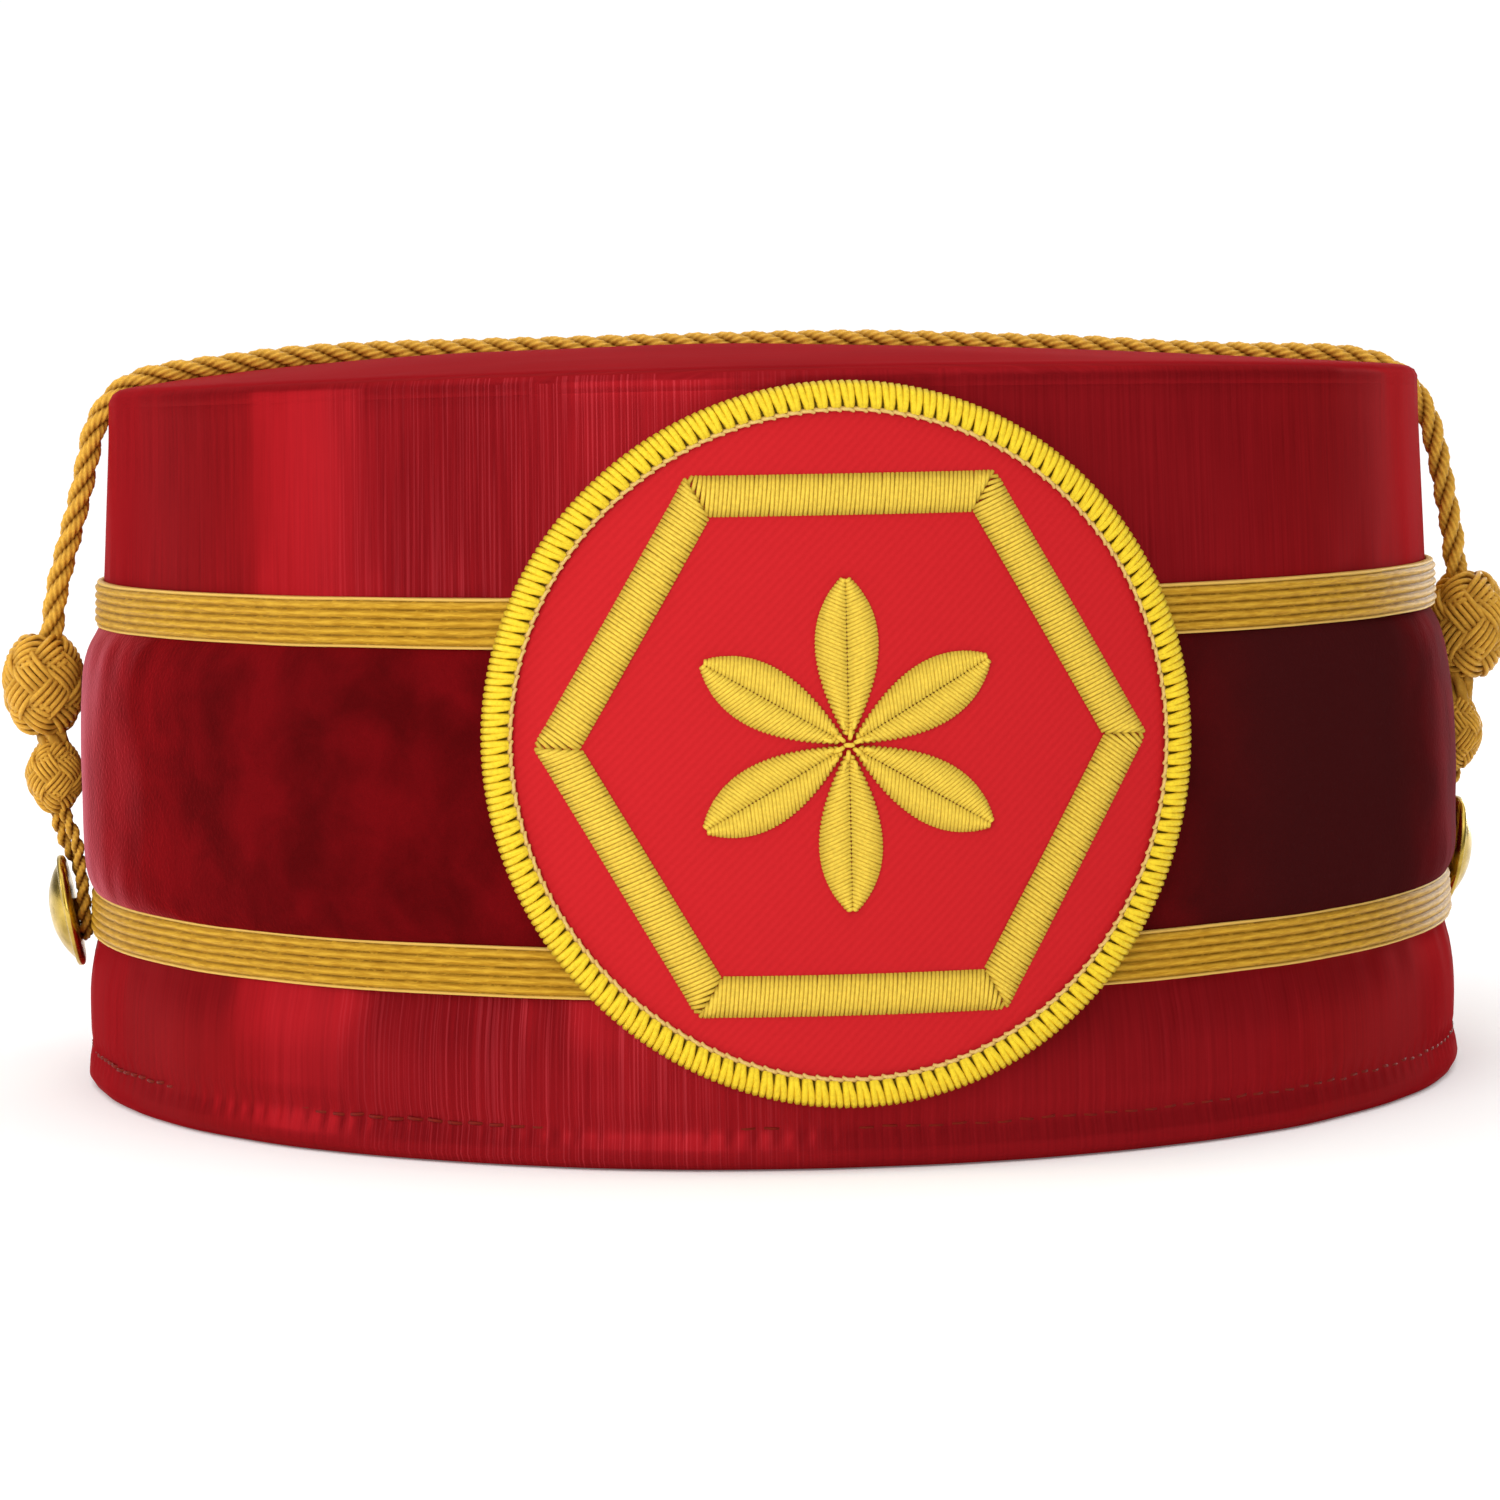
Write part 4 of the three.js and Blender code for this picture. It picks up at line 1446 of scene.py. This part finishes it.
@dataclass
class Badge(SubAssembly):
    """The round badge: twill disc, overlocked border, and a raised hexagon and rosette in gold thread."""

    middle_z: float = 46.4
    radius: float = 39.2
    seat: Measure = Measure(((6, 86.1), (18, 86.05), (61, 84.45), (87, 82.5)))
    cloth: float = 1.2
    # How much of the disc's edge the border takes in.
    covered: float = 1.7
    stitches: int = 158
    # A needlework thread's width, how far the padding raises it, and how far its ends sink into the cloth.
    thread: float = 0.5
    pad: float = 0.55
    sunk: float = 0.02
    apothem: float = 29.2
    bar: float = 4.3
    bar_pitch: float = 0.46
    petals: int = 6
    petal_start: float = 1.6
    petal_length: float = 17.5
    petal_width: float = 6.6
    petal_stitches: int = 40
    knot: float = 0.42
    cloth_ripple: Ripple = Ripple(0.09, 7, 7, 13.0)
    # The border's stitches: inset from the badge's edge, height, lean along the edge, and how far a pair
    # spreads, as a share.
    pair_rows: Sequence[tuple[float, float, float, float]] = (
        (2.6, 1.6, -0.22, 0.5), (2.1, 2.0, -0.15, 0.6), (1.3, 2.16, 0.0, 0.9), (0.55, 1.86, 0.12, 1.0),
        (0.16, 1.2, 0.2, 1.0), (0.16, 0.6, 0.24, 1.0), (0.6, 0.1, 0.28, 1.0))
    # A link of the chain: inset, place along the edge as a share of a pair, and height.
    link_rows: Sequence[Point3] = ((3.14, -0.46, 1.4), (2.94, -0.15, 1.66), (2.94, 0.2, 1.66),
                                   (2.82, 0.52, 1.4))
    # The border's core: inset and height.
    core_rows: Rows = ((3.1, 1.15), (2.75, 1.35), (2.3, 1.5), (1.3, 1.75), (0.7, 1.4), (0.42, 0.8),
                       (0.7, 0.25), (3.1, 0.3))

    def laid(self, bm: BMesh) -> BMesh:
        """Lays flat work on the cap's front and turns it into metres.

        Args:
            bm: The flat work in mm: across, up, and out of the cloth.

        Returns:
            The same shape, in place.
        """
        for vert in bm.verts:
            across, up, out = vert.co
            z = self.middle_z + up
            half = self.seat.at(z) + out / LENGTH_RATIO
            depth = -LENGTH_RATIO * math.sqrt(max(0.0, half * half - across * across))
            vert.co = Vector((across, depth, z)) * MM
        return bm

    def disc(self) -> Object:
        """Cuts the twill disc.

        Returns:
            The disc.
        """
        edge = self.radius - self.covered
        rings = [(edge * i / 24, self.cloth) for i in range(24, -1, -1)]
        bm = spun([(0.0, 0.1), (edge * 0.5, 0.1), (edge, 0.1), *rings], 128, False)
        layer = bm.loops.layers.uv.new("cloth")
        for face in bm.faces:
            for loop in face.loops:
                loop[layer].uv = (loop.vert.co.x * MM, loop.vert.co.y * MM)
        for vert in bm.verts:
            if vert.co.z > self.cloth / 2:
                vert.co.z += self.cloth_ripple.at(vert.co.x, vert.co.y)
        return self.hand_over(self.laid(bm), "badge_twill_disc", TWILL, Slot.TWILL, "badge_cloth")

    def sewn(self, mesh: Mesh, heights: Pair, name: str, thread: Finish, *nodes: str) -> Object:
        """Marks the crowns of flat stitches, lays them on the cap and hands them over.

        Args:
            mesh: The stitches in flat mm.
            heights: The height of their grooves, and how far their crowns stand above that, in mm.
            name: The piece's name.
            thread: The thread's finish.
            nodes: The solids that the stitches stand for.

        Returns:
            The stitches.
        """
        groove, rise = heights
        self.crowned(mesh, lambda co: (co.z - groove) / rise)
        bm = bmesh.new()
        bm.from_mesh(mesh)
        bpy.data.meshes.remove(mesh)
        return self.hand_over(self.laid(bm), name, thread, Slot.THREAD, *nodes)

    def all_round(self, lines: Sequence[Line], width: float, name: str) -> Mesh:
        """Repeats one unit of stitches all round the badge's edge.

        Args:
            lines: The unit's centre lines in flat mm.
            width: A thread's width in mm.
            name: The mesh's name.

        Returns:
            The stitches in flat mm.
        """
        bm = bmesh.new()
        bm.from_mesh(swept(lines, width / 2, THREAD_SIDES))
        repeat_round(bm, self.stitches)
        return to_mesh(bm, name)

    def border(self) -> list[Object]:
        """Overlocks the border: paired stitches that draw together inwards, and a chain at their inner ends.

        Returns:
            The stitches, the chain and the dark core under them, whose colour is painted shade in the gaps.
        """
        pitch = math.tau * self.radius / self.stitches
        pair = [[Vector((self.radius - inset, lean + hand * spread * pitch / 4, out))
                 for inset, out, lean, spread in self.pair_rows] for hand in (-1, 1)]
        link = [Vector((self.radius - inset, along * pitch, out)) for inset, along, out in self.link_rows]
        heights = (0.9, 1.3)
        name, chain = "badge_border_stitches", "badge_border_chain"
        made = [self.sewn(self.all_round(pair, pitch / 2 * 1.02, name), heights, name, BORDER_THREAD,
                          "badge_border"),
                self.sewn(self.all_round([link], self.thread, chain), heights, chain, CHAIN_THREAD)]
        core = self.laid(spun([(self.radius - inset, out) for inset, out in self.core_rows], 192, True))
        mesh = self.crowned(to_mesh(core, "badge_border_core"), lambda co: 0.35)
        return [*made, self.hand_over(mesh, "badge_border_core", CORE_SHADE_THREAD, Slot.THREAD)]

    def needlework(self, lines: Sequence[Line], name: str, node: str) -> Object:
        """Lays gold threads on the cloth.

        Args:
            lines: The threads' centre lines in flat mm.
            name: The piece's name.
            node: The solid that it stands for.

        Returns:
            The needlework.
        """
        mesh = swept(lines, self.thread / 2, THREAD_SIDES)
        return self.sewn(mesh, (self.cloth, 0.75), name, NEEDLE_THREAD, node)

    def hexagon(self) -> Object:
        """Fills the hexagon's six bars with satin stitches, mitred at the corners.

        Returns:
            The hexagon.
        """
        chance = random.Random(5)
        inner, outer = self.apothem - self.bar, self.apothem
        span = outer * math.tan(math.pi / 6)
        count = int(2 * span / self.bar_pitch)
        lines = []
        for k in range(6):
            turn = Matrix.Rotation(math.radians(60 * k), 3, "Z")
            for i in range(count + 1):
                at = -span + 2 * span * i / count
                start = max(inner, abs(at) / math.tan(math.pi / 6))
                if outer - start < 0.3:
                    continue
                slant = 0.22 + chance.uniform(-0.05, 0.05)
                line = []
                for j in range(6):
                    share = j / 5
                    pad = self.pad * (1 - abs(2 * share - 1) ** 3) * ease(outer - start, 0.2, 2.5)
                    out = self.cloth - self.sunk + pad + chance.uniform(-0.03, 0.03)
                    up = start + (outer - start) * share
                    line.append(turn @ Vector((at + slant * (share - 0.5) * 2, up, out)))
                lines.append(line)
        return self.needlework(lines, "badge_hexagon_stitches", "badge_hexagon")

    def rosette(self) -> Object:
        """Fills the six petals with slanting stitches from a middle vein, and the boss with knots.

        Returns:
            The rosette.
        """
        chance = random.Random(6)
        lines = []
        for k in range(self.petals):
            turn = Matrix.Rotation(math.tau * k / self.petals, 3, "Z")
            for side in (-1, 1):
                for i in range(self.petal_stitches):
                    p = -0.99 + 1.98 * i / (self.petal_stitches - 1)
                    width = self.petal_width / 2 * (1 - p * p)
                    if width < 0.15:
                        continue
                    at = self.petal_start + self.petal_length * (p + 1) / 2
                    line = []
                    for j in range(5):
                        share = j / 4
                        raised = self.pad * math.sin(math.pi * (0.12 + 0.86 * share)) ** 0.7
                        up = at - 0.9 + 0.45 * width * share + chance.uniform(-0.03, 0.03)
                        across = side * (0.08 + width * share)
                        line.append(turn @ Vector((across, up, self.cloth - self.sunk + raised)))
                    lines.append(line)
        arch = (math.pi, 2.4, 1.57, 0.75, 0.0)
        for ring, count in ((0.0, 1), (1.15, 6), (2.3, 12)):
            for i in range(count):
                angle = math.tau * (i / count + ring / 5)
                cos, sin = math.cos(angle), math.sin(angle)
                place = Vector((ring * cos, ring * sin, self.cloth + self.pad - 0.07 * ring))
                lines.append([place + Vector((self.knot * math.cos(a) * cos, self.knot * math.cos(a) * sin,
                                              self.knot * math.sin(a))) for a in arch])
        return self.needlework(lines, "badge_rosette_stitches", "badge_rosette")

    def build(self) -> None:
        """Builds the badge."""
        disc = self.disc()
        work = [*self.border(), self.hexagon(), self.rosette()]


@dataclass
class GiltButton(SubAssembly):
    """A domed gilt button with a rolled rim and a shank."""

    side: Side
    reach: float = 87.3
    height: float = 21.1
    tilt_deg: float = 10.0
    # Outlines as (radius, height) rows, from the shank outwards and then in over the dome.
    shank_rows: Rows = ((0.0, -1.6), (1.1, -1.6), (1.4, -1.3))
    rim_rows: Rows = ((1.4, 0.0), (5.6, 0.02), (6.5, 0.1), (6.95, 0.3), (7.1, 0.62), (7.02, 1.0))
    dome_rows: Rows = ((7.02, 1.0), (6.6, 1.2), (6.25, 1.15), (6.0, 1.3), (5.1, 1.95), (3.7, 2.65),
                       (2.0, 3.15), (0.0, 3.32))

    def build(self) -> Object:
        """Spins the button and turns it to face outwards and a little down.

        Returns:
            The button.
        """
        rim, dome = smooth_profile(self.rim_rows, 0.35), smooth_profile(self.dome_rows, 0.3)
        bm = spun([*self.shank_rows, *rim, *dome[1:-1], self.dome_rows[-1]], 80, False)
        turn = Matrix.Rotation(self.side.value * math.radians(90 + self.tilt_deg), 4, "Y")
        place = Vector((self.side.value * self.reach, 0.0, self.height + self.side.lift))
        bmesh.ops.transform(bm, matrix=Matrix.Translation(place) @ turn, verts=bm.verts)
        to_metres(bm)
        node = f"{self.side.label}_button"
        return self.hand_over(bm, f"{node}_gilt", GILT, Slot.GILT, node)


def main() -> None:
    """Builds the set and the cap's sub-assemblies in order."""
    logging.basicConfig(level=logging.INFO, format="%(name)s: %(message)s")
    Studio().build()
    CapCord().build()
    SatinShell().build()
    VelvetBand().build()
    GoldBraid("upper_braid", 59.7).build()
    GoldBraid("lower_braid", 21.5).build()
    Badge().build()
    for side in Side:
        GiltButton(side).build()


if __name__ == "__main__":
    main()
